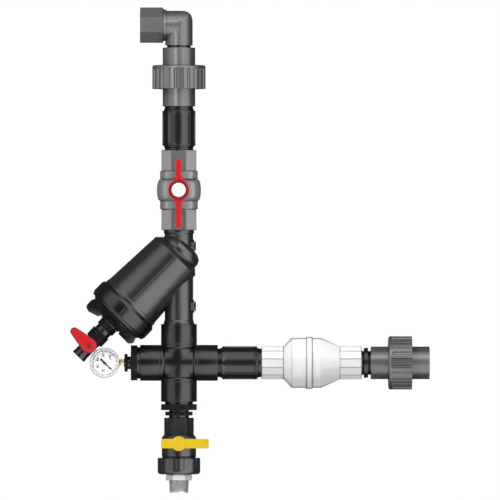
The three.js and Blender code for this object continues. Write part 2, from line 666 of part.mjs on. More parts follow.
function drainBranch() {
  const boreR = 12;
  const headFrom = 70.4;
  const headTo = 80.1;
  const nippleR = 15.5;
  const bodyFrom = 93.4;
  const nutFrom = 161.8;
  const nutTo = 189.2;
  const shoulderR = 31.4;
  const tailR = 20.4;
  const bushing = joined(
    rod(THREAD_R, CROSS_HALF - THREAD_L, CROSS_HALF + 1),
    rod(23.8, CROSS_HALF, headFrom + 1),
    prism(8, 30.3, headFrom, headTo),
  ).subtract(rod(nippleR + GAP, 40, headTo + 1));
  const nipple = joined(
    rod(nippleR, 64, headTo + 1),
    rod(16.6, headTo + GAP, bodyFrom - GAP),
    prism(8, 23.2, 83.1, 89.3),
    rod(nippleR, bodyFrom - 1, 110),
  ).subtract(rod(boreR, 60, 112));
  const cavityR = 19.5;
  const cavityFrom = 121.8;
  const hexTo = 122.8;
  const body = joined(
    prism(6, 21.9, bodyFrom, hexTo + 0.1),
    turned([
      [0, hexTo], [25.5, hexTo], [29.2, 127], [29.2, nutFrom - 0.5], [shoulderR, nutFrom - 0.5],
      [shoulderR, 175], [0, 175],
    ]),
    forwardRod(12, 20, 35, 0, DRAIN_PIVOT),
  )
    .subtract(rod(nippleR + GAP, bodyFrom - 1, 112))
    .subtract(rod(boreR, 100, 130))
    .subtract(rod(cavityR, cavityFrom, 176))
    .subtract(forwardRod(5.4, 10, 36, 0, DRAIN_PIVOT));
  const nut = rod(36.3, nutFrom, nutTo)
    .subtract(rod(turningHole(shoulderR), nutFrom - 1, 183.2))
    .subtract(rod(turningHole(tailR), 180, nutTo + 1));
  const hexFrom = 190.2;
  const adapter = joined(
    turned([
      [0, 150.8], [cavityR - GAP, 150.8], [cavityR - GAP, 175.3], [28, 175.3], [28, 182.8],
      [tailR, 182.8], [tailR, hexFrom + 1], [0, hexFrom + 1],
    ]),
    prism(6, 19.3, hexFrom, 199.4),
    turned([
      [0, 199], [15.8, 199], [15.8, 201], [17.3, 201], [16.3, 218], [15.6, 218], [15.6, 221], [0, 221],
    ]),
  ).subtract(rod(boreR, 150, 222));

  const ballR = 17;
  const ballShape = ball(ballR, boreR).rotate([0, 90, 0]).subtract(box(-6, 6, -18, -14.2, -2.3, 2.3));
  const stem = joined(
    forwardRod(5, 17.8, 36, 0, 0, 16),
    box(-4.4, 4.4, -18.4, -14.7, -2, 2),
    box(-3.4, 3.4, -44, -35, -3.4, 3.4),
  );
  const lever = joined(
    forwardRod(12.4, 36, 48, 0, 0, ROUND),
    box(-50.7, 30.1, -48, -38, -8, 8),
  ).subtract(box(-3.7, 3.7, -44.5, -30, -3.7, 3.7));
  const turning = [
    piece("drain_valve_ball", ballShape, WHITE),
    piece("drain_valve_stem", stem, BLACK),
    piece("drain_valve_handle", lever, YELLOW),
  ];
  turning.forEach((mesh) => mesh.position.set(0, 0, DRAIN_PIVOT));
  return [
    piece("drain_bushing", bushing, BLACK),
    piece("drain_nipple", nipple, BLACK),
    piece("drain_valve_body", body, BLACK),
    piece("drain_valve_nut", nut, BLACK),
    piece("drain_adapter", adapter, STEEL),
    ...turning,
  ];
}

// ---------------------------------------------------------------- the whole set, about the cross centre
const nippleLength = NIPPLE_BARREL + 2 * NIPPLE_NECK;
const valveTop = RUN_TOP + VALVE_L;
const unionFoot = valveTop + nippleLength;
const unionTop = unionFoot + UNION_L;
const closeVisible = 4.1;
const checkFrom = CROSS_HALF + nippleLength;
const collarVisible = 15.7;
const outletEnd = checkFrom + CHECK_L + collarVisible + UNION_L;

const set = new THREE.Group();
set.name = "basket_strainer_set";
const elbow = inletElbow();
elbow.position.set(0, 0, ELBOW_Z);
const dialGroup = new THREE.Group();
dialGroup.position.set(-GAUGE_X, 0, 0);
dialGroup.add(...gauge());

set.add(
  cross(),
  ...strainerBody(),
  line(0, TILT_Z, CANISTER_TURN, strainerCap(), ...strainerBasket(), ...flushValve()),
  line(0, RUN_TOP, 0, ...isolatingValve()),
  line(0, valveTop, 0, ribbedNipple("inlet_nipple")),
  line(0, unionFoot, 0, ...union("inlet")),
  line(0, unionTop, 0, closeNipple("elbow_nipple", closeVisible)),
  elbow,
  line(CROSS_HALF, 0, 90, ribbedNipple("outlet_nipple")),
  line(checkFrom, 0, 90, ...checkValve()),
  line(checkFrom + CHECK_L, 0, 90, closeNipple("outlet_close_nipple", collarVisible, 25.5)),
  line(outletEnd, 0, -90, ...union("outlet")),
  line(0, 0, -90, ...gaugeBranch()),
  dialGroup,
  line(0, 0, 180, ...drainBranch()),
);

// The origin is the middle of the whole set's box.
set.updateMatrixWorld(true);
const middleOfBox = new THREE.Box3().setFromObject(set, true).getCenter(new THREE.Vector3());
set.position.sub(middleOfBox);

export default set;
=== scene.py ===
"""The looks of a plastic Y-pattern basket strainer made up with its valves, gauge, cross and unions.

Every fitting is built along a Line: lengths are in millimetres from the line's start, z runs along the pipe
and -y faces the viewer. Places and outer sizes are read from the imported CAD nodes, and the numbers written
here are detail sizes. Most pieces are turned from an outline of (radius, height, fillet) corners.
"""

import json
import math

import bmesh
import bpy
from mathutils import Matrix, Vector

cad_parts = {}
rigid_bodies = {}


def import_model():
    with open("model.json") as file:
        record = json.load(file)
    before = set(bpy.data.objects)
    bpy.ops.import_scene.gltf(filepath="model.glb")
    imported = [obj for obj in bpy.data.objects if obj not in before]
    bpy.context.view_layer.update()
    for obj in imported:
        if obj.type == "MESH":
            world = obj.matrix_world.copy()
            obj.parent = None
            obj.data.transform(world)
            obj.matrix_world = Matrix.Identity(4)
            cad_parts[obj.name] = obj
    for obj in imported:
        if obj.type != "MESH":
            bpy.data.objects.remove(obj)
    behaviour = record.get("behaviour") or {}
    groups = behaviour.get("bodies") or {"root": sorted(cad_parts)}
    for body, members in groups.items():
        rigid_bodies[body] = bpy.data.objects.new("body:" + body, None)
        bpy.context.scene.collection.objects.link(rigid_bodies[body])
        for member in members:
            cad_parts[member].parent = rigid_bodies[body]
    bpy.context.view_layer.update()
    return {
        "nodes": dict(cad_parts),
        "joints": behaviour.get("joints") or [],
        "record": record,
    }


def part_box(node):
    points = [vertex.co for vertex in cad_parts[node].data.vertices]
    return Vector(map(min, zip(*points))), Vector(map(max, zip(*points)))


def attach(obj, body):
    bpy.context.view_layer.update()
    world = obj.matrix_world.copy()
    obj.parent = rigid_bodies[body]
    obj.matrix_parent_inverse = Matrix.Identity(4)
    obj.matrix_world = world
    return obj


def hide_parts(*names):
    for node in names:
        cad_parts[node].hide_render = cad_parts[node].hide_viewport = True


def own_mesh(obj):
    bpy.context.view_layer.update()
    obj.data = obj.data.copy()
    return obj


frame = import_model()

MM = 0.001
TAU = 2 * math.pi
AROUND = 96  # facets round a turned piece, so that the corners of 6, 8 or 12 flats fall on a vertex
GAP = 0.3  # clearance between separate pieces
FLOW_R = 19  # bore of the 40 mm line
THREAD_R = 24  # outside of its male threads
THREAD_PITCH = 2.2  # pitch of the pipe threads
CLOSE_R = 20.5  # outside of the short close nipples
UNION_SOCKET_R = 27.7  # outside of the unions' sockets
EVEN_GLOW = 0.5  # light from all round on matt surfaces
BOX_GLOW = 4.2  # brightness of the soft boxes that shiny surfaces reflect
CORE_GLOW = 0.05  # and of the dark space between them, round the camera
CORE_AT = (-0.13, -1, 0.12)  # direction of the middle of that space
LEFT_SHARE = 0.5  # how bright the left soft box is beside the right one

record = frame["record"]
body_of_node = {n: b for b, nodes in record["behaviour"]["bodies"].items() for n in nodes}
joints = {j["name"]: j for j in frame["joints"]}


# ---------------------------------------------------------------- lines and spans
class Line:
    """A straight run: z along it, x to its side, start in metres. Its own lengths are in millimetres."""

    def __init__(self, start, z, x):
        self.z, self.x = Vector(z).normalized(), Vector(x).normalized()
        turn = Matrix((self.x, self.z.cross(self.x), self.z)).transposed().to_4x4()
        self.matrix = Matrix.Translation(start) @ turn @ Matrix.Scale(MM, 4)
        self.inverse = self.matrix.inverted()

    def point(self, height):
        """The place in metres at a height along this line."""
        return self.matrix @ Vector((0, 0, height))

    def onward(self, height):
        """The same line, started at a height along it."""
        return Line(self.point(height), self.z, self.x)

    def span(self, node):
        """Lowest z, highest z and greatest radius of a CAD node along this line."""
        corners = [self.inverse @ v.co for v in frame["nodes"][node].data.vertices]
        heights = [c.z for c in corners]
        return min(heights), max(heights), max(math.hypot(c.x, c.y) for c in corners)


def middle(node):
    low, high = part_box(node)
    return (low + high) / 2


def pivot_of(joint, line):
    """A joint's place in a line's millimetres."""
    return line.inverse @ Vector(joints[joint]["pos_m"])


run_x = middle("inlet_nipple").x
branch_z = middle("outlet_nipple").z
cross_at = Vector((run_x, 0, branch_z))
UP = Line(cross_at, (0, 0, 1), (1, 0, 0))
DOWN = Line(cross_at, (0, 0, -1), (-1, 0, 0))
RIGHT = Line(cross_at, (1, 0, 0), (0, 0, -1))
LEFT = Line(cross_at, (-1, 0, 0), (0, 0, 1))
cap_axis = Vector(joints["strainer_cap_turn"]["axis"])
cap_at = Vector(joints["strainer_cap_turn"]["pos_m"])
canister_start = cap_at - cap_axis * ((cap_at.x - run_x) / cap_axis.x)
CANISTER = Line(canister_start, cap_axis, (cap_axis.z, 0, -cap_axis.x))
GAUGE = Line(middle("gauge_bezel") * Vector((1, 0, 1)), (0, -1, 0), (1, 0, 0))


# ---------------------------------------------------------------- meshes
def mesh_of(vertices, faces):
    mesh = bpy.data.meshes.new("shape")
    mesh.from_pydata(vertices, [], faces)
    work = bmesh.new()
    work.from_mesh(mesh)
    bmesh.ops.recalc_face_normals(work, faces=work.faces)
    work.to_mesh(mesh)
    work.free()
    return mesh


def rounded(outline, steps=4):
    """A closed outline of (r, z) or (r, z, fillet) corners, with the fillets drawn as curves."""
    points = []
    for i, (r, z, *fillet) in enumerate(outline):
        here = Vector((r, z))
        if not fillet:
            points.append(here)
            continue
        before = Vector(outline[i - 1][:2]) - here
        after = Vector(outline[(i + 1) % len(outline)][:2]) - here
        reach = fillet[0] / math.tan(before.angle(after) / 2)
        reach = min(reach, 0.48 * before.length, 0.48 * after.length)
        start, end = here + before.normalized() * reach, here + after.normalized() * reach
        for k in range(steps + 1):
            t = k / steps
            points.append(start * (1 - t) ** 2 + here * 2 * t * (1 - t) + end * t**2)
    return [(p.x, p.y) for p in points]


def split_up(points, low, high, step):
    """Adds points to an outline's straight stretches between two heights, so a section can change there."""
    result = []
    for (r, z), (r2, z2) in zip(points, points[1:] + points[:1]):
        result.append((r, z))
        inside = low - step <= min(z, z2) and max(z, z2) <= high + step
        pieces = max(1, round(abs(z2 - z) / step)) if inside and abs(z2 - z) > step else 1
        result += [(r + (r2 - r) * k / pieces, z + (z2 - z) * k / pieces) for k in range(1, pieces)]
    return result


def spun(outline, section=None, around=AROUND):
    """A closed (r, z) outline turned about z. section(angle, r, z) gives the radius at an angle."""
    vertices, rings = [], []
    for r, z in outline:
        if r < 1e-6:
            rings.append([len(vertices)] * around)
            vertices.append((0, 0, z))
            continue
        rings.append(list(range(len(vertices), len(vertices) + around)))
        for k in range(around):
            angle = TAU * k / around
            radius = section(angle, r, z) if section else r
            vertices.append((radius * math.sin(angle), -radius * math.cos(angle), z))
    faces = []
    for a, b in zip(rings, rings[1:] + rings[:1]):
        for k in range(around):
            j = (k + 1) % around
            corners = list(dict.fromkeys((a[k], a[j], b[j], b[k])))
            if len(corners) > 2:
                faces.append(corners)
    return mesh_of(vertices, faces)


def flats(sides, apothem, low=-1e9, high=1e9):
    """A section with flat sides milled on, one of them facing the viewer."""
    step = TAU / sides

    def section(angle, r, z):
        if not low <= z <= high:
            return r
        off = (angle + step / 2) % step - step / 2
        return min(r, apothem / math.cos(off))

    return section


def grooves(count, depth, root_r, low, high, share=0.4, run_out=3.0):
    """A section with straight grooves from low to high; share is a groove's part of each step."""
    step = TAU / count

    def section(angle, r, z):
        if r < root_r or not low < z < high:
            return r
        off = abs((angle + step / 2) % step - step / 2) / step  # 0 on a rib, 0.5 in a groove
        groove = min(max((off - 0.5 + share / 2) / 0.07, 0), 1)
        ends = min(1, (z - low) / run_out, (high - z) / run_out)
        return r - depth * (groove * groove * (3 - 2 * groove)) * math.sqrt(max(ends, 0))

    return section


def thread(pitch, depth, root_r, low, high, inside=False):
    """A section with a helical thread; root_r tells the threaded wall from the piece's other walls."""

    def section(angle, r, z):
        right_wall = r < root_r if inside else r > root_r
        if not right_wall or not low <= z <= high:
            return r
        turn = (z / pitch + angle / TAU) % 1
        height = min(max(2.6 * abs(turn - 0.5) - 0.15, 0), 1)
        ends = min(1, (z - low) / pitch, (high - z) / pitch)
        return r + depth * height * ends if inside else r - depth * height * ends

    return section


def both(first, second):
    """One section after another."""

    def section(angle, r, z):
        return second(angle, first(angle, r, z), z)

    return section


def extruded(outline, low, high):
    """An (x, z) outline made into a plate that runs from depth low to depth high in front of the line."""
    count = len(outline)
    vertices = [(x, -depth, z) for depth in (low, high) for x, z in outline]
    sides = [(k, (k + 1) % count, (k + 1) % count + count, k + count) for k in range(count)]
    return mesh_of(vertices, [tuple(range(count)), tuple(range(count, 2 * count))] + sides)


def block(x, y, z):
    """A box between two values on each axis."""
    corners = [(a, b, c) for a in x for b in y for c in z]
    quads = [(0, 1, 3, 2), (4, 6, 7, 5), (0, 4, 5, 1), (2, 3, 7, 6), (0, 2, 6, 4), (1, 5, 7, 3)]
    return mesh_of(corners, quads)


def bar(half_x, half_z, low, high):
    """A rectangular bar that runs forwards from depth low to depth high."""
    return block((-half_x, half_x), (-high, -low), (-half_z, half_z))


def rectangle(x1, x2, z1, z2, fillets=(0, 0, 0, 0), steps=4):
    """A rectangle's outline. The fillets go round from the corner at x1 and z1, by way of x2 and z1."""
    corners = [(x1, z1), (x2, z1), (x2, z2), (x1, z2)]
    return rounded([(*at, fillet) if fillet else at for at, fillet in zip(corners, fillets)], steps)


def mirrored(half, about=0):
    """A symmetrical outline from its lower half."""
    return [*half, *((r, 2 * about - z, *fillet) for r, z, *fillet in reversed(half))]


def rod(radius, low, high, fillet=0.0, around=48):
    return spun(rectangle(0, radius, low, high, (0, fillet, fillet, 0)), around=around)


def forward(mesh, z=0.0):
    """Turns a mesh built along z to run forwards from the line, towards the viewer, at a height."""
    mesh.transform(Matrix.Translation((0, 0, z)) @ Matrix.Rotation(math.pi / 2, 4, "X"))
    return mesh


def moved(mesh, matrix):
    copy = mesh.copy()
    copy.transform(matrix)
    return copy


def turned(mesh, degrees, axis):
    return moved(mesh, Matrix.Rotation(math.radians(degrees), 4, axis))


def sideways(mesh, height):
    """A copy of a mesh built along z, turned to run to the line's side at a height."""
    return moved(mesh, Matrix.Translation((0, 0, height)) @ Matrix.Rotation(math.pi / 2, 4, "Y"))


def softened(mesh, width, steps=2, sharp=30):
    """Rounds every edge sharper than the given angle."""
    work = bmesh.new()
    work.from_mesh(mesh)
    bmesh.ops.remove_doubles(work, verts=work.verts, dist=1e-4)
    edges = [e for e in work.edges if len(e.link_faces) == 2 and e.calc_face_angle() > math.radians(sharp)]
    bmesh.ops.bevel(
        work, geom=edges, offset=width, segments=steps, profile=0.5, affect="EDGES", clamp_overlap=True
    )
    work.to_mesh(mesh)
    work.free()
    return mesh


def combined(operation, base, *others):
    """Unites with, or cuts by, closed meshes: operation is UNION, DIFFERENCE or INTERSECT."""
    target = bpy.data.objects.new("target", base)
    bpy.context.scene.collection.objects.link(target)
    tools = []
    for other in others:
        tool = bpy.data.objects.new("tool", other)
        bpy.context.scene.collection.objects.link(tool)
        tools.append(tool)
        step = target.modifiers.new("combine", "BOOLEAN")
        step.operation, step.object, step.solver = operation, tool, "MANIFOLD"
    bpy.context.view_layer.update()
    result = bpy.data.meshes.new_from_object(target.evaluated_get(bpy.context.evaluated_depsgraph_get()))
    for done in [target, *tools]:
        bpy.data.objects.remove(done)
    return result


def together(*meshes):
    """Separate meshes as one, without uniting them."""
    work = bmesh.new()
    for mesh in meshes:
        work.from_mesh(mesh)
    result = bpy.data.meshes.new("group")
    work.to_mesh(result)
    work.free()
    return result


def swept(path, outline):
    """A closed outline carried along a path of points, with its ends closed."""
    vertices, faces, count = [], [], len(outline)
    up = Vector((0, 0, 1))
    for i, point in enumerate(path):
        ahead = (path[min(i + 1, len(path) - 1)] - path[max(i - 1, 0)]).normalized()
        side = ahead.cross(up).normalized()
        rise = side.cross(ahead)
        vertices += [tuple(point + side * a + rise * b) for a, b in outline]
        if i:
            first = (i - 1) * count
            for k in range(count):
                j = (k + 1) % count
                faces.append((first + k, first + j, first + count + j, first + count + k))
    faces += [tuple(range(count)), tuple(range(len(vertices) - count, len(vertices)))]
    return mesh_of(vertices, faces)


def oval(wide, tall, corners=14):
    angles = [TAU * k / corners for k in range(corners)]
    return [(wide * math.cos(a), tall * math.sin(a)) for a in angles]


def piece(node, mesh, line, finish, sharp=34, extra=""):
    """Places a finished mesh for a CAD node, riding on its body; with extra, it is added detail on it."""
    mesh.transform(line.matrix)
    mesh.polygons.foreach_set("use_smooth", [True] * len(mesh.polygons))
    mesh.set_sharp_from_angle(angle=math.radians(sharp))
    mesh.materials.clear()
    mesh.materials.append(finish)
    name = f"{node}_{extra or 'finished'}"
    mesh.name = name
    shown = bpy.data.objects.new(name, mesh)
    bpy.context.scene.collection.objects.link(shown)
    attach(shown, body_of_node[node])
    if not extra:
        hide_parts(node)
    return shown


def o_ring(node, line):
    """A seal of round section that fills its CAD node's length."""
    low, high, outer_r = line.span(node)
    half = (high - low) / 2
    section = [(outer_r - half + a, low + half + b) for a, b in oval(half, half)]
    piece(node, spun(section), line, RUBBER)


# ---------------------------------------------------------------- materials
class Nodes:
    """Shorthand for building one material's node tree."""

    def __init__(self, name):
        self.material = bpy.data.materials.new(name)
        self.material.use_nodes = True
        self.tree = self.material.node_tree
        self.surface = self.tree.nodes["Principled BSDF"]
        self.place = self.add("ShaderNodeTexCoord").outputs["Object"]

    def add(self, kind, inputs=None, **settings):
        node = self.tree.nodes.new(kind)
        for key, value in settings.items():
            setattr(node, key, value)
        for key, value in (inputs or {}).items():
            self.set(node.inputs[key], value)
        return node

    def set(self, socket, value):
        if isinstance(value, bpy.types.NodeSocket):
            self.tree.links.new(value, socket)
        else:
            socket.default_value = value

    def noise(self, scale, detail=3.0):
        inputs = {"Vector": self.place, "Scale": scale, "Detail": detail, "Roughness": 0.55}
        return self.add("ShaderNodeTexNoise", inputs).outputs["Fac"]

    def finished(self, inputs):
        """The material, with these inputs of its surface set."""
        for key, value in inputs.items():
            self.set(self.surface.inputs[key], value)
        return self.material

    def along(self, line):
        """Texture places turned so that z runs along a line."""
        rotation = tuple(line.matrix.inverted().to_euler())
        return self.add("ShaderNodeMapping", {"Vector": self.place, "Rotation": rotation}).outputs[0]

    def spread(self, value, low, high, start=0.3, end=0.7):
        inputs = {"Value": value, "From Min": start, "From Max": end, "To Min": low, "To Max": high}
        return self.add("ShaderNodeMapRange", inputs).outputs["Result"]

    def mixed(self, factor, first, second, blend="MIX"):
        node = self.add("ShaderNodeMix", data_type="RGBA", blend_type=blend)
        self.set(node.inputs[0], factor)
        self.set(node.inputs[6], first)
        self.set(node.inputs[7], second)
        return node.outputs[2]


def tone(colour, factor):
    return tuple(min(1.0, c * factor) for c in colour) + (1.0,)


def moulded(
    name, colour, rough, grain=0.02, edge=0.5, edge_tone=1.5, crisp=False, rim=0.4, specular=0.5, metallic=0.0
):
    """Moulded plastic: tone changes and a fine grain, with painted light and shade laid over them: edges
    painted lighter or darker than the surface, a painted dark rim where the surface turns away from view, and
    painted shade in crevices. Crisp edges are drawn as fine lines of painted shade or highlight; otherwise
    the painted edge tone fades out gradually.
    """
    n = Nodes(name)
    broad = n.noise(22, 4)
    patches = n.noise(160, 5)
    fine = n.noise(2600, 2)
    base = n.mixed(n.spread(broad, 0, 1), tone(colour, 0.93), tone(colour, 1.07))
    base = n.mixed(n.spread(patches, 0, 0.2, 0.45, 0.75), base, tone(colour, 1.1))
    soft = n.add("ShaderNodeBevel", {"Radius": edge * MM}, samples=6).outputs[0]
    flat = n.add("ShaderNodeNewGeometry").outputs["Normal"]
    bend = n.add("ShaderNodeVectorMath", {0: soft, 1: flat}, operation="DOT_PRODUCT").outputs["Value"]
    # painted highlight or shade along edges: edge_tone above 1 paints them lighter, below 1 paints them
    # darker
    edge_shading = n.spread(bend, 0.95, 0, 0.985, 0.9993) if crisp else n.spread(bend, 0.55, 0, 0.8, 0.995)
    base = n.mixed(edge_shading, base, tone(colour, edge_tone))
    # painted shade: the colour is darkened in crevices and between parts, where shade falls
    crevice_shade = n.add("ShaderNodeAmbientOcclusion", {"Distance": 4 * MM}, samples=6).outputs["AO"]
    base = n.mixed(n.spread(crevice_shade, 1, 0, 0.3, 0.9), base, tone(colour, 0.3))
    # painted shade: the colour darkens towards a rim where the surface turns away from the view
    grazing = n.add("ShaderNodeLayerWeight", {"Blend": 0.5}).outputs["Facing"]
    base = n.mixed(n.spread(grazing, 0, 1, 0.62, 0.9), base, tone(colour, rim))
    bump = n.add("ShaderNodeBump", {"Strength": 0.25, "Distance": grain * MM, "Height": fine, "Normal": soft})
    return n.finished({
        "Base Color": base, "Roughness": n.spread(patches, rough - 0.03, rough + 0.04),
        "Normal": bump.outputs[0], "Specular IOR Level": specular, "Metallic": metallic,
    })


def metal(name, colour, rough, line, lines=900, streak=0.35, metallic=1.0):
    """Turned metal: fine tool lines round the axis of its line, with faint smudges."""
    n = Nodes(name)
    smudges = n.noise(120, 4)
    squeezed = n.add("ShaderNodeMapping", {"Vector": n.along(line), "Scale": (0.03, 0.03, 1)}).outputs[0]
    tool = n.add("ShaderNodeTexNoise", {"Vector": squeezed, "Scale": lines, "Detail": 3.0}).outputs["Fac"]
    base = n.mixed(n.spread(smudges, 0, 1), tone(colour, 0.88), tone(colour, 1.06))
    base = n.mixed(n.spread(tool, 0, streak), base, tone(colour, 0.7))
    soft = n.add("ShaderNodeBevel", {"Radius": 0.3 * MM}, samples=6).outputs[0]
    bump = n.add("ShaderNodeBump", {"Strength": 0.25, "Distance": 0.02 * MM, "Height": tool, "Normal": soft})
    return n.finished({
        "Base Color": base, "Metallic": metallic, "Roughness": n.spread(smudges, rough - 0.05, rough + 0.08),
        "Normal": bump.outputs[0],
    })


def clear_lens(name):
    n = Nodes(name)
    return n.finished({
        "Base Color": (0.97, 0.98, 0.98, 1), "Roughness": n.spread(n.noise(300), 0.02, 0.06),
        "Transmission Weight": 1.0, "IOR": 1.08, "Alpha": 0.25,
    })


def woven(name, colour, line):
    """Fine wire cloth: two sets of wires, round and along the basket."""
    n = Nodes(name)
    place = n.along(line)
    wires = {"Vector": place, "Scale": 260.0}
    sets = [n.add("ShaderNodeTexWave", wires, wave_type="BANDS", bands_direction=axis) for axis in "ZX"]
    waves = {k: each.outputs["Fac"] for k, each in enumerate(sets)}
    weave = n.add("ShaderNodeMath", waves, operation="MAXIMUM").outputs[0]
    base = n.mixed(weave, tone(colour, 0.2), tone(colour, 1.1))
    bump = n.add("ShaderNodeBump", {"Strength": 0.8, "Distance": 0.2 * MM, "Height": weave}).outputs[0]
    return n.finished({"Base Color": base, "Metallic": 1.0, "Roughness": 0.38, "Normal": bump})


OUTLINED = {"edge_tone": 0.02, "crisp": True}  # dark edge lines as in the picture, drawn as painted shade along the edges
SHINY_RED = {"grain": 0.01, "specular": 0.3}
# edge_tone above 1 paints a highlight along the edges, below 1 paints shade there; rim paints shade where a
# surface turns away
BLACK = moulded("black_polypropylene", (0.008, 0.008, 0.0085), 0.21, edge_tone=6.0, specular=0.34)
CANISTER_BLACK = moulded("canister_polypropylene", (0.02, 0.02, 0.0215), 0.23, edge_tone=4.5)
# the raised parting lines are real; their lighter colour is a painted highlight
PARTING_HIGHLIGHT = moulded("parting_line_painted_highlight", (0.11, 0.11, 0.115), 0.45, edge_tone=1.2)
GREY = moulded("grey_pvc", (0.05, 0.05, 0.054), 0.29, grain=0.005, edge_tone=2.0, specular=0.6)
VALVE_GREY = moulded("grey_valve_pvc", (0.1, 0.1, 0.105), 0.34, grain=0.005, edge=2.4, **OUTLINED)
WHITE = moulded("white_pvc", (0.74, 0.74, 0.745), 0.34, grain=0.01, edge=2.6, rim=0.1, **OUTLINED)
DISC_WHITE = moulded("white_disc", (0.97, 0.97, 0.97), 0.4, grain=0.01, edge=0.4, edge_tone=0.6, rim=0.9)
PTFE = moulded("ptfe", (0.85, 0.85, 0.83), 0.5, edge_tone=0.9)
RED = moulded("red_plastic", (0.66, 0.012, 0.018), 0.3, edge=1.6, edge_tone=0.08, crisp=True, **SHINY_RED)
SCREW_RED = moulded("red_brown_screw", (0.2, 0.02, 0.012), 0.4, edge=0.4, edge_tone=0.5, **SHINY_RED)
RED_BAR = moulded("red_handle_plastic", (0.5, 0.012, 0.016), 0.3, edge_tone=0.8, **SHINY_RED)
# painted shade: a darker red for the ring laid on the handle's hub
RED_SHADE_RING = moulded("red_handle_painted_shade_ring", (0.27, 0.008, 0.014), 0.3, edge_tone=0.8, **SHINY_RED)
YELLOW = moulded("yellow_coating", (0.8, 0.56, 0.012), 0.34, edge=0.8, edge_tone=0.55, specular=0.3)
RUBBER = moulded("black_rubber", (0.018, 0.018, 0.018), 0.62, grain=0.05, edge_tone=1.6, specular=0.3)
DIAL = moulded("dial_paint", (0.92, 0.92, 0.91), 0.5, grain=0.01, edge_tone=1.0)
INK = moulded("dial_ink", (0.012, 0.012, 0.013), 0.45, grain=0.01, edge=0.05, edge_tone=1.2)
STEEL = moulded(
    "plated_steel", (0.92, 0.92, 0.93), 0.4, grain=0.01, edge=1.2, edge_tone=0.12, crisp=True, metallic=0.25
)
BRASS = metal("gauge_brass", (0.8, 0.66, 0.42), 0.35, LEFT, streak=0.2)
CASE_STEEL = metal("gauge_steel", (0.55, 0.56, 0.57), 0.45, GAUGE, metallic=0.5)
LENS = clear_lens("gauge_lens_clear")
SCREEN = woven("wire_cloth", (0.6, 0.61, 0.62), CANISTER)


# ---------------------------------------------------------------- unions and nipples
def union(prefix, line):
    """A union from its body's face to its tail's face, with its ribbed nut bearing on the tail's flange."""
    foot, face, head_r = line.span(prefix + "_union_body")
    tail_low, tail_high, flange_r = line.span(prefix + "_union_tail")
    nut_low, nut_high, nut_r = line.span(prefix + "_union_nut")
    seal_low, seal_high, seal_r = line.span(prefix + "_union_seal")
    socket_l, close_l, side_room = 20, 16, 0.65
    head_low, flange_high = nut_low + 1.7, nut_low + 28.2
    groove_r, groove_inner_r = seal_r + side_room, seal_r - (seal_high - seal_low) - side_room
    floor = face - 3.4

    body = rounded([
        (THREAD_R - 1.3, foot + 1.6), (THREAD_R + GAP, foot, 0.3), (UNION_SOCKET_R, foot, 0.9),
        (UNION_SOCKET_R, head_low, 1.2), (head_r, head_low, 0.8), (head_r, face, 0.5),
        (groove_r, face, 0.2), (groove_r, floor, 0.3), (groove_inner_r, floor, 0.3),
        (groove_inner_r, face, 0.2), (FLOW_R, face, 0.4), (FLOW_R, foot + socket_l, 0.6),
        (THREAD_R - 1.3, foot + socket_l, 0.6),
    ])
    low, high = foot + 1.6, foot + socket_l - 2
    screw = thread(THREAD_PITCH, 1.2, THREAD_R, low, high, inside=True)
    piece(prefix + "_union_body", spun(split_up(body, low, high, 0.3), screw), line, GREY)

    tail = rounded([
        (FLOW_R, tail_low, 0.4), (flange_r, tail_low, 0.5), (flange_r, flange_high, 0.8),
        (UNION_SOCKET_R, flange_high, 1.2), (UNION_SOCKET_R, tail_high, 0.9),
        (CLOSE_R + GAP, tail_high, 0.5), (CLOSE_R + GAP, tail_high - close_l, 0.4),
        (FLOW_R, tail_high - close_l, 0.4),
    ])
    piece(prefix + "_union_tail", spun(tail), line, GREY)

    shoulder, ribs, rib_depth = 5.5, 24, 2.5
    hole_r, neck_r = head_r + 1.1, UNION_SOCKET_R + 0.9
    nut = rounded([
        (hole_r, nut_low, 0.6), (nut_r, nut_low, 0.9), (nut_r, nut_high, 4.2), (neck_r, nut_high, 0.8),
        (neck_r, flange_high + GAP, 0.3), (hole_r, flange_high + GAP, 0.4),
    ], steps=6)
    nut = split_up(nut, nut_low, nut_high, 1.2)
    grip = grooves(ribs, rib_depth, nut_r - 3, nut_low - 5, nut_high - shoulder, share=0.42, run_out=1.4)
    piece(prefix + "_union_nut", spun(nut, grip, around=288), line, GREY, sharp=28)
    o_ring(prefix + "_union_seal", line)


def ribbed_nipple(node, line):
    """A nipple with a barrel of eight wide flutes between narrow ribs, and a beaded neck at each end."""
    low, high, barrel_r = line.span(node)
    thread_l, neck_l = 17.5, 7.5
    neck_r, bead_r = THREAD_R + 0.3, THREAD_R + 1.5
    start = low + thread_l
    barrel_low, barrel_high = start + neck_l, high - thread_l - neck_l
    outline = mirrored([
        (FLOW_R, low, 0.4), (THREAD_R - 1, low, 0.5), (THREAD_R - 0.2, start, 0.2),
        (neck_r, start + 0.5, 0.3), (neck_r, barrel_low - 3.2, 0.6), (bead_r, barrel_low - 2.4, 0.5),
        (bead_r, barrel_low, 0.6), (barrel_r, barrel_low, 1.4),
    ], (low + high) / 2)
    outline = split_up(rounded(outline), barrel_low, barrel_high, 1.0)
    flutes = grooves(8, 2.1, barrel_r - 2.6, barrel_low + 0.6, barrel_high - 0.6, share=0.74, run_out=5.0)
    piece(node, spun(outline, flutes, around=192), line, BLACK)


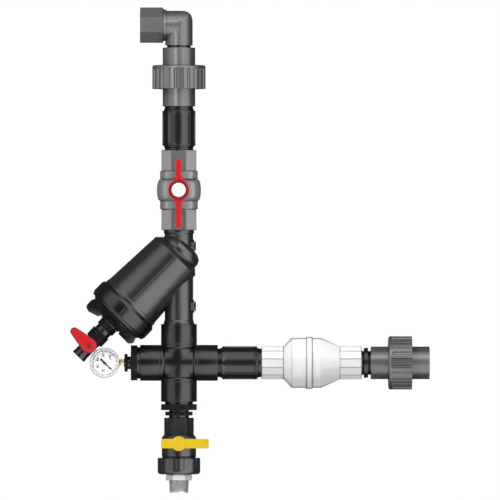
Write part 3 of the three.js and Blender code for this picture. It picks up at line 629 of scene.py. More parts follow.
def close_nipple(node, line, collar=False):
    """A short nipple threaded end to end, with a grip collar if there is room for one."""
    low, high, outer_r = line.span(node)
    bore_r, thread_l = FLOW_R - 2, 15
    start, end = low + thread_l, high - thread_l
    outline = [(bore_r, low, 0.4), (CLOSE_R - 0.8, low, 0.4), (CLOSE_R, start, 0.2)]
    if collar:
        collar_low, collar_high = start + 0.25 * (end - start), start + 0.7 * (end - start)
        outline += [
            (CLOSE_R, collar_low, 0.6), (outer_r, collar_low, 0.7), (outer_r, collar_high, 0.7),
            (CLOSE_R, collar_high, 0.6),
        ]
    outline += [(CLOSE_R, end, 0.2), (CLOSE_R - 0.8, high, 0.4), (bore_r, high, 0.4)]
    screw = thread(THREAD_PITCH, 0.6, CLOSE_R - 1.4, start + 0.4, end - 0.4)

    def section(angle, r, z):
        return r if r > CLOSE_R + 0.1 else screw(angle, r, z)

    piece(node, spun(split_up(rounded(outline), low, high, 0.35), section), line, BLACK)


# ---------------------------------------------------------------- inlet elbow
def inlet_elbow():
    """A mitred elbow with a rounded outer corner and a larger octagonal hub on its level leg."""
    low, high, _ = UP.span("inlet_elbow")
    elbow_low, elbow_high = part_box("inlet_elbow")
    apothem = (elbow_high.y - elbow_low.y) / 2 / MM
    hub_r = apothem / math.cos(math.pi / 8)
    level_z = high - apothem
    foot = low - level_z
    hub_end = (run_x - elbow_low.x) / MM
    upright_r = (elbow_high.x - run_x) / MM
    level_r, corner_r, past = 24.5, 20, 70
    collar_from, hub_from, socket_l, close_l = 21.6, 27, 20, 16

    level = turned(rod(level_r, -upright_r, 40, around=AROUND), -90, "Y")
    upright = rod(upright_r, foot, level_r, around=AROUND)
    corner = combined("INTERSECT", level.copy(), upright.copy())
    level = combined("DIFFERENCE", level, block((0, past), (-past, past), (-past, past)))
    upright = combined("DIFFERENCE", upright, block((-past, past), (-past, past), (0, past)))
    outline = rounded([
        (-hub_end - 1, foot), (upright_r, foot), (upright_r, level_r, corner_r), (-hub_end - 1, level_r),
    ], steps=14)
    bend = combined("UNION", level, upright, corner)
    bend = combined("INTERSECT", bend, extruded(outline, -past, past))

    screw_low, screw_high = hub_end - socket_l + 2, hub_end - 1.6
    hub = rounded([
        (FLOW_R, collar_from), (level_r + 2.0, collar_from, 0.6), (level_r + 2.6, hub_from - 0.6, 0.6),
        (hub_r, hub_from + 0.6, 0.8), (hub_r, hub_end, 0.8), (THREAD_R + GAP, hub_end, 0.3),
        (THREAD_R - 1.3, screw_high), (THREAD_R - 1.3, hub_end - socket_l, 0.6),
        (FLOW_R, hub_end - socket_l, 0.6),
    ])
    screw = thread(THREAD_PITCH, 1.2, THREAD_R, screw_low, screw_high, inside=True)
    hub = spun(split_up(hub, screw_low, screw_high, 0.3), both(screw, flats(8, apothem, hub_from)))

    bores = [
        turned(rod(THREAD_R - 1.5, 0, hub_end + 1, around=AROUND), -90, "Y"),
        rod(FLOW_R - 2, foot - 1, 0, around=AROUND),
        rod(CLOSE_R + GAP, foot - 1, foot + close_l, around=AROUND),
    ]
    shape = combined("UNION", combined("DIFFERENCE", bend, *bores), turned(hub, -90, "Y"))
    piece("inlet_elbow", shape, UP.onward(level_z), GREY, sharp=28)


# ---------------------------------------------------------------- isolating ball valve
def isolating_valve():
    """The ball valve on the run: housing, seats, ball, stem and T handle."""
    line = UP
    ball_low, ball_high, ball_r = line.span("isolating_valve_ball")
    centre = (ball_low + ball_high) / 2
    isolating_housing(line, centre)
    for name, way in (("upper", 1), ("lower", -1)):
        seat = [(19.5, 18.8, 0.4), (23.4, 13.8, 0.4), (28.7, 13.8, 0.5), (28.7, 23, 0.5), (19.5, 23, 0.4)]
        seat = [(r, centre + way * z) for r, z in rounded(seat)]
        piece(f"isolating_valve_seat_{name}", spun(seat), line, PTFE)

    ball_and_stem(
        "isolating_valve", line.onward(centre), bored_ball(ball_r - 0.2, FLOW_R), (WHITE, GREY),
        slot=(3.3, 7, 21.5, ball_r + 1), tang=(3, 6, 22, 28), shank=(7, 27.2, 41, 0.4),
        square=(4.5, 4.5, 40, 50), soft=0.3,
    )
    t_handle(line.onward(centre))


def isolating_housing(line, centre):
    """The ball housing in two halves, each with an octagonal hub, and a round belly about the ball."""
    low, split, _ = line.span("isolating_valve_body")
    _, high, _ = line.span("isolating_valve_end")
    band_r, band_half, inner_half = 32, 32.3, 18.3
    hub_r, apothem, belly_r, socket_l = 32.1, 29.6, 37.4, 20
    cavity_r, cavity_half, bonnet_r, stem_r = 29, 23.3, 14, 7.5
    band_low, band_high = centre - band_half, centre + band_half

    def belly(offset):
        """A point on the round belly at a height from its centre."""
        rise = math.sqrt(max(0, 1 - (offset / inner_half) ** 2))
        return band_r + 0.6 + (belly_r - band_r - 0.6) * rise, centre + offset

    swell = [belly(inner_half * t / 8) for t in range(-8, 9)]
    body = rounded([
        (FLOW_R, low + socket_l, 0.6), (THREAD_R + GAP, low + socket_l, 0.4), (THREAD_R + GAP, low, 0.4),
        (hub_r, low, 1.0), (hub_r, band_low - 0.3), (band_r, band_low, 0.5),
        (band_r, centre - inner_half - 0.5, 0.4), *swell, (band_r, split, 0.4), (cavity_r, split, 0.3),
        (cavity_r, centre - cavity_half, 0.6), (FLOW_R, centre - cavity_half, 0.5),
    ])
    shell = spun(body, flats(8, apothem, low, band_low - 0.2))
    shell = combined("UNION", shell, forward(rod(bonnet_r, 25, 40, 1.0), z=centre))
    cavity = rod(cavity_r, centre - cavity_half + 0.5, split + 1, around=AROUND)
    shell = combined("DIFFERENCE", shell, cavity, forward(rod(stem_r, 20, 42), z=centre))
    piece("isolating_valve_body", shell, line, VALVE_GREY)

    end = rounded([
        (cavity_r, split + GAP, 0.3), (band_r, split + GAP, 0.5), (band_r, band_high, 0.5),
        (hub_r, band_high + 0.3), (hub_r, high, 1.0), (THREAD_R + GAP, high, 0.4),
        (THREAD_R + GAP, high - socket_l, 0.4), (FLOW_R, high - socket_l, 0.6),
        (FLOW_R, centre + cavity_half, 0.5), (cavity_r, centre + cavity_half, 0.6),
    ])
    shell = spun(end, flats(8, apothem, band_high + 0.2, high))
    piece("isolating_valve_end", shell, line, VALVE_GREY)


def bored_ball(radius, bore):
    """A ball with a through bore along z, its mouths eased."""
    mouth = math.asin(bore / radius)
    arc = [mouth + (math.pi - 2 * mouth) * k / 40 for k in range(41)]
    outline = [(radius * math.sin(a), radius * math.cos(a)) for a in arc]
    ends = radius * math.cos(mouth)
    return spun([*outline, (bore - 0.3, -ends + 0.8), (bore - 0.3, ends - 0.8)])


def ball_and_stem(prefix, at, ball, finishes, slot, tang, shank, square, soft):
    """A ball with a slot, and the stem whose tang turns it and whose square end takes the handle."""
    piece(prefix + "_ball", combined("DIFFERENCE", ball, bar(*slot)), at, finishes[0])
    stem = combined("UNION", forward(rod(*shank)), bar(*tang), bar(*square))
    piece(prefix + "_stem", softened(stem, soft), at, finishes[1])


def t_handle(at):
    """The red T handle: a bar blended into a round hub with a recess for the disc."""
    low, high, _ = at.span("isolating_valve_handle")
    half, hub_r, back, front, disc_r = 5.2, 18.2, 46.0, 58.0, 11.9
    grip = extruded(rectangle(-half, half, low, high, [1.6] * 4, steps=5), back, front)
    grip = softened(grip, 2.6, 4)
    neck = [
        (-half - 4.5, -hub_r + 3, 2), (half + 4.5, -hub_r + 3, 2), (half - 0.1, -hub_r - 5.5, 4),
        (-half + 0.1, -hub_r - 5.5, 4),
    ]
    gusset = extruded(rounded(neck, steps=6), back + 1.5, front - 1.2)
    hub = forward(spun(rounded([
        (0, 41.3), (hub_r - 1.5, 41.3, 0.8), (hub_r, 44.5, 0.8), (hub_r, front, 1.3),
        (disc_r + 2.2, front, 0.8), (disc_r + GAP, front - 1.6, 0.4), (0, front - 1.6),
    ])))
    shape = combined("UNION", grip, hub, gusset, turned(gusset, 180, "Y"))
    pocket = forward(rod(disc_r + GAP, 56.4, 60, around=AROUND))
    shape = combined("DIFFERENCE", shape, pocket, bar(4.8, 4.8, 40, 50.5))
    piece("isolating_valve_handle", shape, at, RED_BAR)
    # painted shade: a thin darker red ring on the hub's front face round the disc
    rim = rectangle(disc_r + 1.6, hub_r - 0.9, front - 0.4, front + 0.1)
    piece("isolating_valve_handle", forward(spun(rim)), at, RED_SHADE_RING, extra="hub_painted_shade_ring")
    disc = spun(rounded([(0, 56.7), (disc_r, 56.7, 0.3), (disc_r, 58.6, 0.7), (disc_r - 2, 59), (0, 59)]))
    piece("isolating_valve_handle_disc", forward(disc), at, DISC_WHITE)


# ---------------------------------------------------------------- strainer
def strainer_body():
    """The run and its slanted canister, with a port for a test plug above and below the canister."""
    low, high, _ = UP.span("strainer_body")
    thread_l, run_r, collar_r, neck_r = 17.5, 24.2, 25.8, THREAD_R - 0.6
    start, end = low + thread_l, high - thread_l
    cap_low = CANISTER.span("strainer_cap")[0]
    mouth, mouth_r, wall_r = cap_low + 22.7, 52.0, 54.3
    head_r, chamfer = 47.0, 9.0
    way_in, way_out = (low - 1, 142), (195, high + 1)  # the run's bore is closed between these

    run = spun(rounded([
        (0, low), (neck_r, low, 0.5), (THREAD_R, start, 0.2), (collar_r, start, 0.5),
        (collar_r, start + 4.0, 0.8), (run_r, start + 7.3, 1.5), (run_r, end - 7.0, 1.5),
        (collar_r, end - 4.4, 0.8), (collar_r, end, 0.5), (THREAD_R, end, 0.2), (neck_r, high, 0.5),
        (0, high),
    ]))
    can = spun(rounded([
        (0, -19.8), (18, -19.8, 4), (25.5, -18.4, 4), (33.7, -14.2, 4), (37, -7, 4), (37.4, -1.4, 0.6),
        (36.7, -0.6, 0.3), (36.9, 0.1, 0.3), (38.8, 0.1, 0.4), (39.6, 1.6, 0.4),
        (head_r - 0.9, chamfer - 1.2, 0.4), (head_r, chamfer - 0.6, 0.4), (head_r + 0.1, chamfer + 0.6, 0.3),
        (head_r - 0.1, chamfer + 1.4, 0.3), (wall_r - 0.9, cap_low - 6.5, 1.0), (wall_r, cap_low - 5, 0.6),
        (wall_r, cap_low - GAP, 0.6), (mouth_r, cap_low - GAP, 0.3), (mouth_r, mouth, 0.8), (0, mouth),
    ]), around=144)
    hollow = spun(rounded([(0, 20), (43.4, 20, 1.5), (48.2, 110, 4), (48.2, mouth + 2), (0, mouth + 2)]))
    plenum = rod(27.5, -6, 21, 1.0, around=AROUND)
    can, hollow, plenum = (moved(mesh, UP.inverse @ CANISTER.matrix) for mesh in (can, hollow, plenum))

    half = 0.35  # half width of the mould's parting line
    seam = block((-half, half), (-run_r - 0.25, -run_r + 0.6), (start + 7.5, end - 7.5))
    piece("strainer_body", combined("DIFFERENCE", seam, can), UP, PARTING_HIGHLIGHT, extra="run_parting_line")
    side = [
        (head_r - 1, chamfer + 3), (head_r + 0.4, chamfer + 3), (wall_r + 0.1, cap_low - 7),
        (wall_r - 1.6, cap_low - 7),
    ]
    seam = turned(extruded(side, -half, half), -90, "Z")
    piece("strainer_body", seam, CANISTER, PARTING_HIGHLIGHT, extra="canister_parting_line")

    boss_end = (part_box("strainer_test_plug_upper")[1].x - run_x) / MM - 2.8
    boss = [(0, 8), (12.5, 8), (12.5, 22.5, 1), (11, 24, 0.6), (11, boss_end, 0.8), (0, boss_end)]
    boss = spun(rounded(boss), around=48)
    hole = rod(4.6, 10, 30, around=24)
    shape = combined("UNION", run, can, *[sideways(boss, height) for height in plug_heights()])
    cuts = [hollow, plenum, rod(FLOW_R, *way_in, around=AROUND), rod(FLOW_R, *way_out, around=AROUND)]
    cuts += [sideways(hole, height) for height in plug_heights()]
    piece("strainer_body", combined("DIFFERENCE", shape, *cuts), UP, CANISTER_BLACK, sharp=30)
    test_plugs(boss_end)


def plug_heights():
    """Heights of the upper and the lower test plug on the run."""
    spans = [UP.span(f"strainer_test_plug_{which}") for which in ("upper", "lower")]
    return [(low + high) / 2 for low, high, _ in spans]


def test_plugs(boss_end):
    """The two pressure test plugs, whose hexagonal heads bear on their bosses' ends."""
    head_end, pit = boss_end + 2.8, boss_end + 0.8
    plug = rounded([
        (0, 17), (4.3, 17, 0.4), (4.3, boss_end + 0.3, 0.2), (7.9, boss_end + 0.3, 0.3), (7.9, head_end, 0.7),
        (3.4, head_end, 0.3), (3.4, pit, 0.3), (0, pit),
    ])
    hexagon = flats(6, 7.0, boss_end + 0.2, boss_end + 3)
    for which, height in zip(("upper", "lower"), plug_heights()):
        place = Line(UP.point(height), (1, 0, 0), (0, 0, -1))
        piece(f"strainer_test_plug_{which}", spun(plug, hexagon, around=48), place, BLACK)


def strainer_cap():
    """The screw cap with its two wings and the port for the flush valve, and its seal."""
    line = CANISTER
    low, high, outer_r = line.span("strainer_cap")
    seam = 0.2  # how far the mould's parting line stands out
    cap_r = outer_r - seam
    face, port, floor = low + 29.7, 170.3, 147.3
    thread_r, port_r = 53.0, 10.3
    shell = rounded([
        (thread_r, low, 0.4), (55.1, low, 0.4), (55.6, low + 0.9, 0.3), (cap_r - 0.3, low + 4.7, 0.9),
        (cap_r, low + 7, 0.8), (cap_r, face - 4.8, 1.0), (56.9, face - 1.6, 0.5), (56.6, face + 0.4, 0.5),
        (55.2, face + 0.8, 0.4), (54.4, face - 0.4, 0.3), (51.8, face + 0.9, 0.8), (49.5, face + 3.6, 1.2),
        (43, face + 7.4, 6), (30, 165.6, 4), (21.5, 167.4, 1.0), (19, 168.6, 0.8), (19, port, 0.8),
        (port_r, port, 0.6), (port_r, 155, 0.4), (8, 155, 0.3), (8, 152.4, 0.4), (30, 152.4, 0.5),
        (30, 138.5, 0.5), (34, 138.5, 0.5), (34, 149, 0.6), (38, floor, 0.6), (thread_r, floor, 0.5),
    ])

    def wing(points):
        return softened(extruded(rounded(points, 6), -6.5, 6.5), 2.0, 3)

    knob = wing([
        (17, 157), (45.5, face + 0.8, 1), (51.0, face + 10, 6), (50.6, high - 3, 8), (41, high, 5),
        (24, high - 5, 4), (21, 170),
    ])
    tab = wing([
        (-17, 157), (-22, high - 8, 2), (-45, high - 7.4, 3), (-51, high - 13, 3), (-50, face + 9, 3),
        (-46, face + 0.8, 1),
    ])
    shape = combined("UNION", spun(shell, around=144), knob, tab)
    clear = rod(19.4, port, high + 5, around=AROUND)
    piece("strainer_cap", combined("DIFFERENCE", shape, clear), line, BLACK, sharp=30)
    parting = block((-0.35, 0.35), (-outer_r + 0.02, -cap_r + 0.6), (low + 9, face - 7))
    piece("strainer_cap", parting, line, PARTING_HIGHLIGHT, extra="parting_line")
    o_ring("strainer_cap_seal", line)


def strainer_basket():
    """A moulded cage round a wire cloth sleeve, with a rubber seat ring at its open end."""
    line = CANISTER
    low, high, rib_r = line.span("strainer_basket_frame")
    ring_low, ring_high, _ = line.span("strainer_basket_seat_ring")
    screen_low, screen_high, screen_r = line.span("strainer_basket_screen")
    inner_r = screen_r + GAP
    hoop_at = (low, 50, 72, 94, 116)
    hoops = [spun(rectangle(inner_r, rib_r, z, z + 3, (0.3, 0.8, 0.8, 0.3))) for z in hoop_at]
    base = spun(rectangle(12, rib_r, high - 4, high, (0.5, 0.6, 1.0, 0.6)))
    upright = block((-1.6, 1.6), (-rib_r + 0.1, -inner_r), (low + 0.5, high - 1))
    bars = [turned(upright, 30 * k, "Z") for k in range(12)]
    piece("strainer_basket_frame", combined("UNION", base, *hoops, *bars), line, BLACK)
    sleeve = rectangle(screen_r - 0.8, screen_r, screen_low, screen_high)
    piece("strainer_basket_screen", spun(sleeve), line, SCREEN)
    ring = rounded([
        (27.5, ring_low, 0.8), (rib_r, ring_low, 1.0), (rib_r, ring_high, 0.6), (screen_r, ring_high, 0.3),
        (screen_r - 0.6, ring_high - 2.5, 0.5), (27.5, ring_high - 2.5, 0.8),
    ])
    piece("strainer_basket_seat_ring", spun(ring), line, RUBBER)


# ---------------------------------------------------------------- flush valve on the cap
def flush_valve():
    """The small ball valve on the cap and the nipple that holds it."""
    line = CANISTER
    low, high, _ = line.span("flush_valve_nipple")
    body_low, outlet, _ = line.span("flush_valve_body")
    hex_low, hex_high, port, way_r = 170.6, 181.1, 10, 6.5
    nipple = rounded([
        (7, low, 0.4), (port, low, 0.5), (port, hex_low, 0.2), (17, hex_low, 0.6), (17, hex_high, 1.2),
        (14.5, hex_high + 0.8, 0.5), (14.5, body_low - GAP, 0.6), (port, body_low - GAP, 0.3),
        (port, high, 0.5), (7, high, 0.4),
    ])
    piece("flush_valve_nipple", spun(nipple, flats(6, 14.7, hex_low - 0.1, hex_high + 0.7)), line, BLACK)

    pivot = pivot_of("flush_valve_turn", line).z
    spout_r = 12.95
    body = rounded([
        (port + GAP, body_low, 0.3), (16.7, body_low, 0.7), (16.7, 207.5, 1.2), (13.4, 208.6, 1.5),
        (12.6, 212, 1.0), (12.6, outlet - 6.4, 0.4), (13.4, outlet - 5.6, 0.5), (13.4, outlet, 0.9),
        (port, outlet, 0.4), (port, 233, 0.4), (way_r, 233, 0.4), (way_r, 203.5, 0.4),
        (port + GAP, 203.5, 0.4),
    ])
    body = [(min(r, spout_r) if z > 215 else r, z) for r, z in body]
    shell = spun(body, flats(6, 14.5, body_low - 0.1, 208))
    shell = combined("UNION", shell, forward(rod(7.5, 6, 16, 0.6), z=pivot))
    cavity = rod(10.6, pivot - 9, pivot + 9, around=AROUND)
    way = rod(way_r - 0.05, 203, 234, around=48)
    shell = combined("DIFFERENCE", shell, cavity, way, forward(rod(3.9, 3, 18), z=pivot))
    piece("flush_valve_body", shell, line, BLACK)

    ball_and_stem(
        "flush_valve", line.onward(pivot), turned(bored_ball(9.9, way_r), 90, "Y"), (BRASS, BRASS),
        slot=(5, 1.8, 8.4, 11), tang=(3.2, 1.5, 8.8, 10.9), shank=(3.5, 10.6, 17, 0.3),
        square=(2.4, 2.4, 16.5, 22), soft=0.2,
    )
    flush_lever(line.onward(pivot))


def flush_lever(at):
    """The red teardrop lever and the cross-head screw that holds it."""
    reach, big_r, tip_r, back, front = 34.5, 13.5, 6.95, 17.3, 23.0

    def drop(inset):
        """A teardrop outline from its round hub to its small tip."""
        big, tip = big_r - inset, tip_r - inset
        flank = math.acos((big - tip) / reach)
        turns = [flank + (TAU - 2 * flank) * k / 36 for k in range(37)]
        ends = [-flank + 2 * flank * k / 18 for k in range(19)]
        outline = [(big * math.cos(a), big * math.sin(a)) for a in turns]
        return outline + [(reach + tip * math.cos(a), tip * math.sin(a)) for a in ends]

    skirt = softened(extruded(drop(0), back, front - 0.9), 0.5, 2)
    crown = softened(extruded(drop(1.3), back + 1, front), 0.8, 3)
    lever = combined("UNION", skirt, crown)
    lever = combined("DIFFERENCE", lever, bar(2.7, 2.7, 17, 22.3), forward(rod(2, 21, 24)))
    piece("flush_valve_handle", lever, at, RED)
    head = forward(spun(rounded([
        (0, 22.3), (1.7, 22.3), (1.7, 23.3), (3.6, 23.3, 0.2), (3.6, 24.6, 0.5), (2.2, 25.3, 0.6), (0, 25.3),
    ]), around=48))
    for half_x, half_z in ((2.2, 0.4), (0.4, 2.2)):
        head = combined("DIFFERENCE", head, bar(half_x, half_z, 24.5, 26))
    piece("flush_valve_handle_screw", head, at, SCREW_RED)


# ---------------------------------------------------------------- cross
def cross_fitting():
    """Two turned arms with a wide rim at each mouth."""
    _, end, _ = UP.span("cross_fitting")
    low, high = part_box("cross_fitting")
    outer_r = (high.y - low.y) / 2 / MM
    waist_r = 28.6
    arm = spun(rounded(mirrored([
        (0, -end), (outer_r, -end, 0.9), (outer_r, -32.6, 0.2), (outer_r - 0.5, -32, 0.2),
        (outer_r, -31.4, 0.2), (outer_r, -27.4, 0.6), (waist_r + 0.4, -25.2, 0.3),
        (waist_r - 0.8, -24.2, 0.3), (waist_r, -23.2, 0.3),
    ])), around=144)
    cuts = [rod(FLOW_R + 1, -end - 1, end + 1, around=AROUND)]
    cuts += [rod(THREAD_R + GAP, z, z + 21, around=AROUND) for z in (end - 20, -end - 1)]
    cuts += [turned(cut, 90, "Y") for cut in cuts]
    shape = combined("UNION", arm, turned(arm, 90, "Y"))
    piece("cross_fitting", combined("DIFFERENCE", shape, *cuts), UP, BLACK, sharp=30)


# ---------------------------------------------------------------- gauge
def gauge_branch():
    """The bushing and reducer that step down to the gauge, and its brass socket."""
    line = LEFT
    low, high, head_r = line.span("gauge_bushing")
    face = line.span("cross_fitting")[1]
    bushing = rounded([
        (9.3, low, 0.4), (THREAD_R - 0.8, low, 0.5), (THREAD_R - 0.1, face + GAP, 0.2),
        (26.9, face + GAP, 0.5), (26.9, face + 4.6, 0.8), (head_r, face + 5.2, 0.8), (head_r, high, 0.8),
        (9.3, high, 0.5),
    ])
    piece("gauge_bushing", spun(bushing, flats(8, 29.7, face + 5, high)), line, BLACK)

    step = high
    low, high, collar_r = line.span("gauge_reducer")
    collar_low = high - 5.3
    reducer = rounded([
        (5.3, low, 0.3), (9, low, 0.4), (9, step + GAP, 0.2), (10.8, step + GAP, 0.4),
        (10.8, collar_low, 0.8), (collar_r, collar_low, 0.6), (collar_r, high, 0.6), (5.3, high, 0.4),
    ])
    piece("gauge_reducer", spun(reducer, flats(8, 15, collar_low - 0.1, high)), line, BLACK)

    square_low = high + GAP
    square_high = (run_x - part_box("gauge_bezel")[1].x) / MM - GAP
    low, high, _ = line.span("gauge_socket")
    square = softened(block((-7, 7), (-6, 7), (square_low, square_high)), 0.7, 3)
    collar = [(0, square_low), (6.2, square_low, 0.5), (6.2, square_low + 1.6, 0.5), (0, square_low + 1.6)]
    shank = rounded([
        (0, low), (5, low, 0.5), (5, square_low + 1), (4.5, square_low + 2), (4.5, high, 0.4), (0, high),
    ])
    shape = combined("UNION", square, spun(shank, around=48), spun(rounded(collar)))
    piece("gauge_socket", combined("DIFFERENCE", shape, rod(1.5, low - 1, high - 7, around=24)), line, BRASS)


def gauge():
    """The gauge along its own line, whose z comes out of the dial towards the viewer."""
    line = GAUGE
    low, rim, outer_r = line.span("gauge_case")
    bezel_low, front, _ = line.span("gauge_bezel")
    cup = rounded([
        (0, low), (outer_r - 2.5, low, 1.5), (outer_r - 0.4, low + 2.2, 1.2), (outer_r - 0.4, rim - 2.2, 0.3),
        (outer_r, rim - 1.6, 0.3), (outer_r, rim, 0.3), (outer_r - 1.5, rim, 0.3),
        (outer_r - 1.5, low + 1.5, 0.8), (0, low + 1.5),
    ])
    hole = turned(rod(4.9, 14, 30, around=24), 90, "Y")
    piece("gauge_case", combined("DIFFERENCE", spun(cup), hole), line, CASE_STEEL)

    ring = rounded([
        (23.2, bezel_low, 0.2), (outer_r, bezel_low, 0.3), (outer_r, front - 1.3, 1.0),
        (outer_r - 1.4, front, 0.7), (22.9, front, 0.5), (22.1, front - 0.6, 0.4), (21.5, front - 0.4, 0.2),
        (21.5, front - 1.1, 0.2), (23.2, front - 1.1, 0.2),
    ])
    piece("gauge_bezel", spun(ring), line, CASE_STEEL)
    lens_low, lens_high, lens_r = line.span("gauge_lens")
    lens = rectangle(0, lens_r, lens_low, lens_high, (0, 0.2, 0.3, 0))
    piece("gauge_lens", spun(lens), line, LENS)

    dial_low, dial_high, dial_r = line.span("gauge_dial")
    piece("gauge_dial", spun(rectangle(1.9, dial_r, dial_low, dial_high)), line, DIAL)
    dial_marks(line, dial_high)
    gauge_movement(line)


def gauge_movement(line):
    """The pointer with its pinion, the toothed sector that turns it and the Bourdon tube."""
    low, high, _ = line.span("gauge_pointer")
    needle_z = high - 1.5
    hand = mirrored([(-9.4, 1.9, 1.2), (-5.5, 1.3, 0.8), (4, 0.9), (12.5, 0.7), (17.2, 0.15)])
    needle = softened(extruded(rounded(hand), 0, 0.7), 0.12, 1)
    needle.transform(Matrix.Translation((0, 0, needle_z)) @ Matrix.Rotation(-math.pi / 2, 4, "X"))
    hub = [(0, needle_z - 0.2), (2.4, needle_z - 0.2, 0.2), (2.4, needle_z + 1.2, 0.5), (0, needle_z + 1.5)]
    arbor = rectangle(0, 1.1, low, needle_z, (0, 0.2, 0, 0))
    hub, arbor, pinion = spun(rounded(hub), around=48), spun(arbor, around=24), pinion_wheel(1.4, 2.2, 4.8)
    shape = combined("UNION", needle, hub, arbor, pinion)
    piece("gauge_pointer", turned(shape, -45, "Z"), line, INK)

    low, high, _ = line.span("gauge_sector")
    pivot = pivot_of("gauge_sector_swing", line)
    spread, radius = math.radians(17), 14
    bearings = [-spread + 2 * spread * k / 12 for k in range(13)]
    arc = [(radius * math.cos(a), radius * math.sin(a)) for a in bearings]
    fan = rounded([(-6, -1.5, 1.2), (2, -2.2, 2), *arc, (2, 2.2, 2), (-6, 1.5, 1.2)])
    sector = extruded(fan, -high, -low)
    sector.transform(Matrix.Scale(-1, 4, (0, 0, 1)) @ Matrix.Rotation(-math.pi / 2, 4, "X"))
    sector.flip_normals()
    sector = moved(turned(sector, -13.5, "Z"), Matrix.Translation((pivot.x, pivot.y, 0)))
    piece("gauge_sector", sector, line, BRASS)

    tube_r, tube_z, begin, end = 17, -5.5, 0.36, 1.42 * math.pi
    sweep = [begin + (end - begin) * k / 48 for k in range(49)]
    path = [Vector((tube_r * math.cos(a), tube_r * math.sin(a), tube_z)) for a in sweep]
    piece("gauge_bourdon_tube", swept(path, oval(1.2, 2.5, 16)), line, BRASS)


def pinion_wheel(radius, low, high):
    """The pointer's small toothed wheel."""
    teeth = 10

    def section(angle, r, z):
        return r if r < 1.2 else r - 0.25 * (0.5 + 0.5 * math.cos(angle * teeth))

    return spun(rectangle(0, radius, low, high), section, around=80)


def dial_marks(line, face):
    """A 0 to 100 scale over 270 degrees, clockwise from lower right, with numbers that read upwards."""
    sweep, start, thick, number_r, steps = 270, 135, 0.06, 13.2, 50
    low, high = face - 0.02, face + thick
    marks = [spun(rectangle(20.5, 20.8, low, high))]
    for k in range(steps + 1):
        long = k % 10 == 0
        inner = 17.6 if long else 18.7 if k % 5 == 0 else 19.5
        half = 0.35 if long else 0.16
        tick = block((-half, half), (inner, 20.6), (low, high))
        marks.append(turned(tick, -start - sweep * k / steps, "Z"))
    for k in range(0, steps + 1, 10):
        bearing = math.radians(start + sweep * k / steps)
        place = Vector((number_r * math.sin(bearing), number_r * math.cos(bearing), face + thick / 2))
        upwards = Matrix.Rotation(math.pi / 2, 4, "Z")
        marks.append(moved(lettering(str(2 * k), 6.2, thick, 0.16), Matrix.Translation(place) @ upwards))
    piece("gauge_dial", together(*marks), line, INK, extra="scale")


def lettering(words, size, thick, bold):
    """Centred figures as a mesh."""
    text = bpy.data.curves.new("figures", "FONT")
    text.body, text.size, text.extrude, text.offset = words, size, thick / 2, bold
    text.align_x, text.align_y, text.resolution_u = "CENTER", "CENTER", 6
    holder = bpy.data.objects.new("figures", text)
    bpy.context.scene.collection.objects.link(holder)
    bpy.context.view_layer.update()
    mesh = bpy.data.meshes.new_from_object(holder.evaluated_get(bpy.context.evaluated_depsgraph_get()))
    bpy.data.objects.remove(holder)
    return mesh


# ---------------------------------------------------------------- check valve
def check_valve():
    """The valve's two halves under a band, with a guide for the poppet in the outlet half."""
    line = RIGHT
    low, split, body_r = line.span("check_valve_inlet_body")
    _, high, _ = line.span("check_valve_outlet_body")
    band_low, band_high, band_r = line.span("check_valve_band")
    hub_r, apothem, socket_l, close_l = 28.7, 27.7, 20, 18
    hub_to, shoulder, seat_z = low + 37.4, low + 51.1, low + 52
    bore_r, cone, hub_from, guide = 38.5, low + 101.1, low + 133.4, low + 93
    inlet = rounded([
        (FLOW_R, low + socket_l, 0.6), (THREAD_R + GAP, low + socket_l, 0.4), (THREAD_R + GAP, low, 0.4),
        (hub_r, low, 0.8), (hub_r, hub_to), (body_r, shoulder, 3.0), (body_r, split, 0.4),
        (bore_r, split, 0.4), (bore_r, seat_z, 0.8), (FLOW_R, seat_z, 0.8),
    ], steps=6)
    shell = spun(inlet, flats(12, apothem, low, hub_to + 0.1))
    piece("check_valve_inlet_body", shell, line, WHITE, sharp=20)

    outlet = rounded([
        (bore_r, split + GAP, 0.4), (body_r, split + GAP, 0.4), (body_r, cone, 5.0), (hub_r, hub_from),
        (hub_r, high, 0.8), (CLOSE_R + GAP, high, 0.4), (CLOSE_R + GAP, high - close_l, 0.4),
        (FLOW_R, high - close_l, 0.5), (FLOW_R, low + 128, 3), (bore_r, cone - 1, 3),
    ], steps=6)
    shell = spun(outlet, flats(12, apothem, hub_from - 0.1, high))
    spoke = block((-bore_r - 1, bore_r + 1), (-2, 2), (guide, guide + 5))
    spoke = combined("DIFFERENCE", spoke, rod(5, guide - 5, guide + 12))
    spokes = [turned(spoke, 60 * k, "Z") for k in range(3)]
    hub = rectangle(3.6, 8, guide - 2, guide + 9, (0.4, 0.6, 1.0, 0.4))
    shape = combined("UNION", shell, spun(hub), *spokes)
    piece("check_valve_outlet_body", shape, line, WHITE, sharp=20)

    band = rectangle(body_r + GAP, band_r, band_low, band_high, (0.2, 1.3, 1.3, 0.2), steps=5)
    piece("check_valve_band", spun(band), line, WHITE)
    check_valve_poppet(line, low, guide)


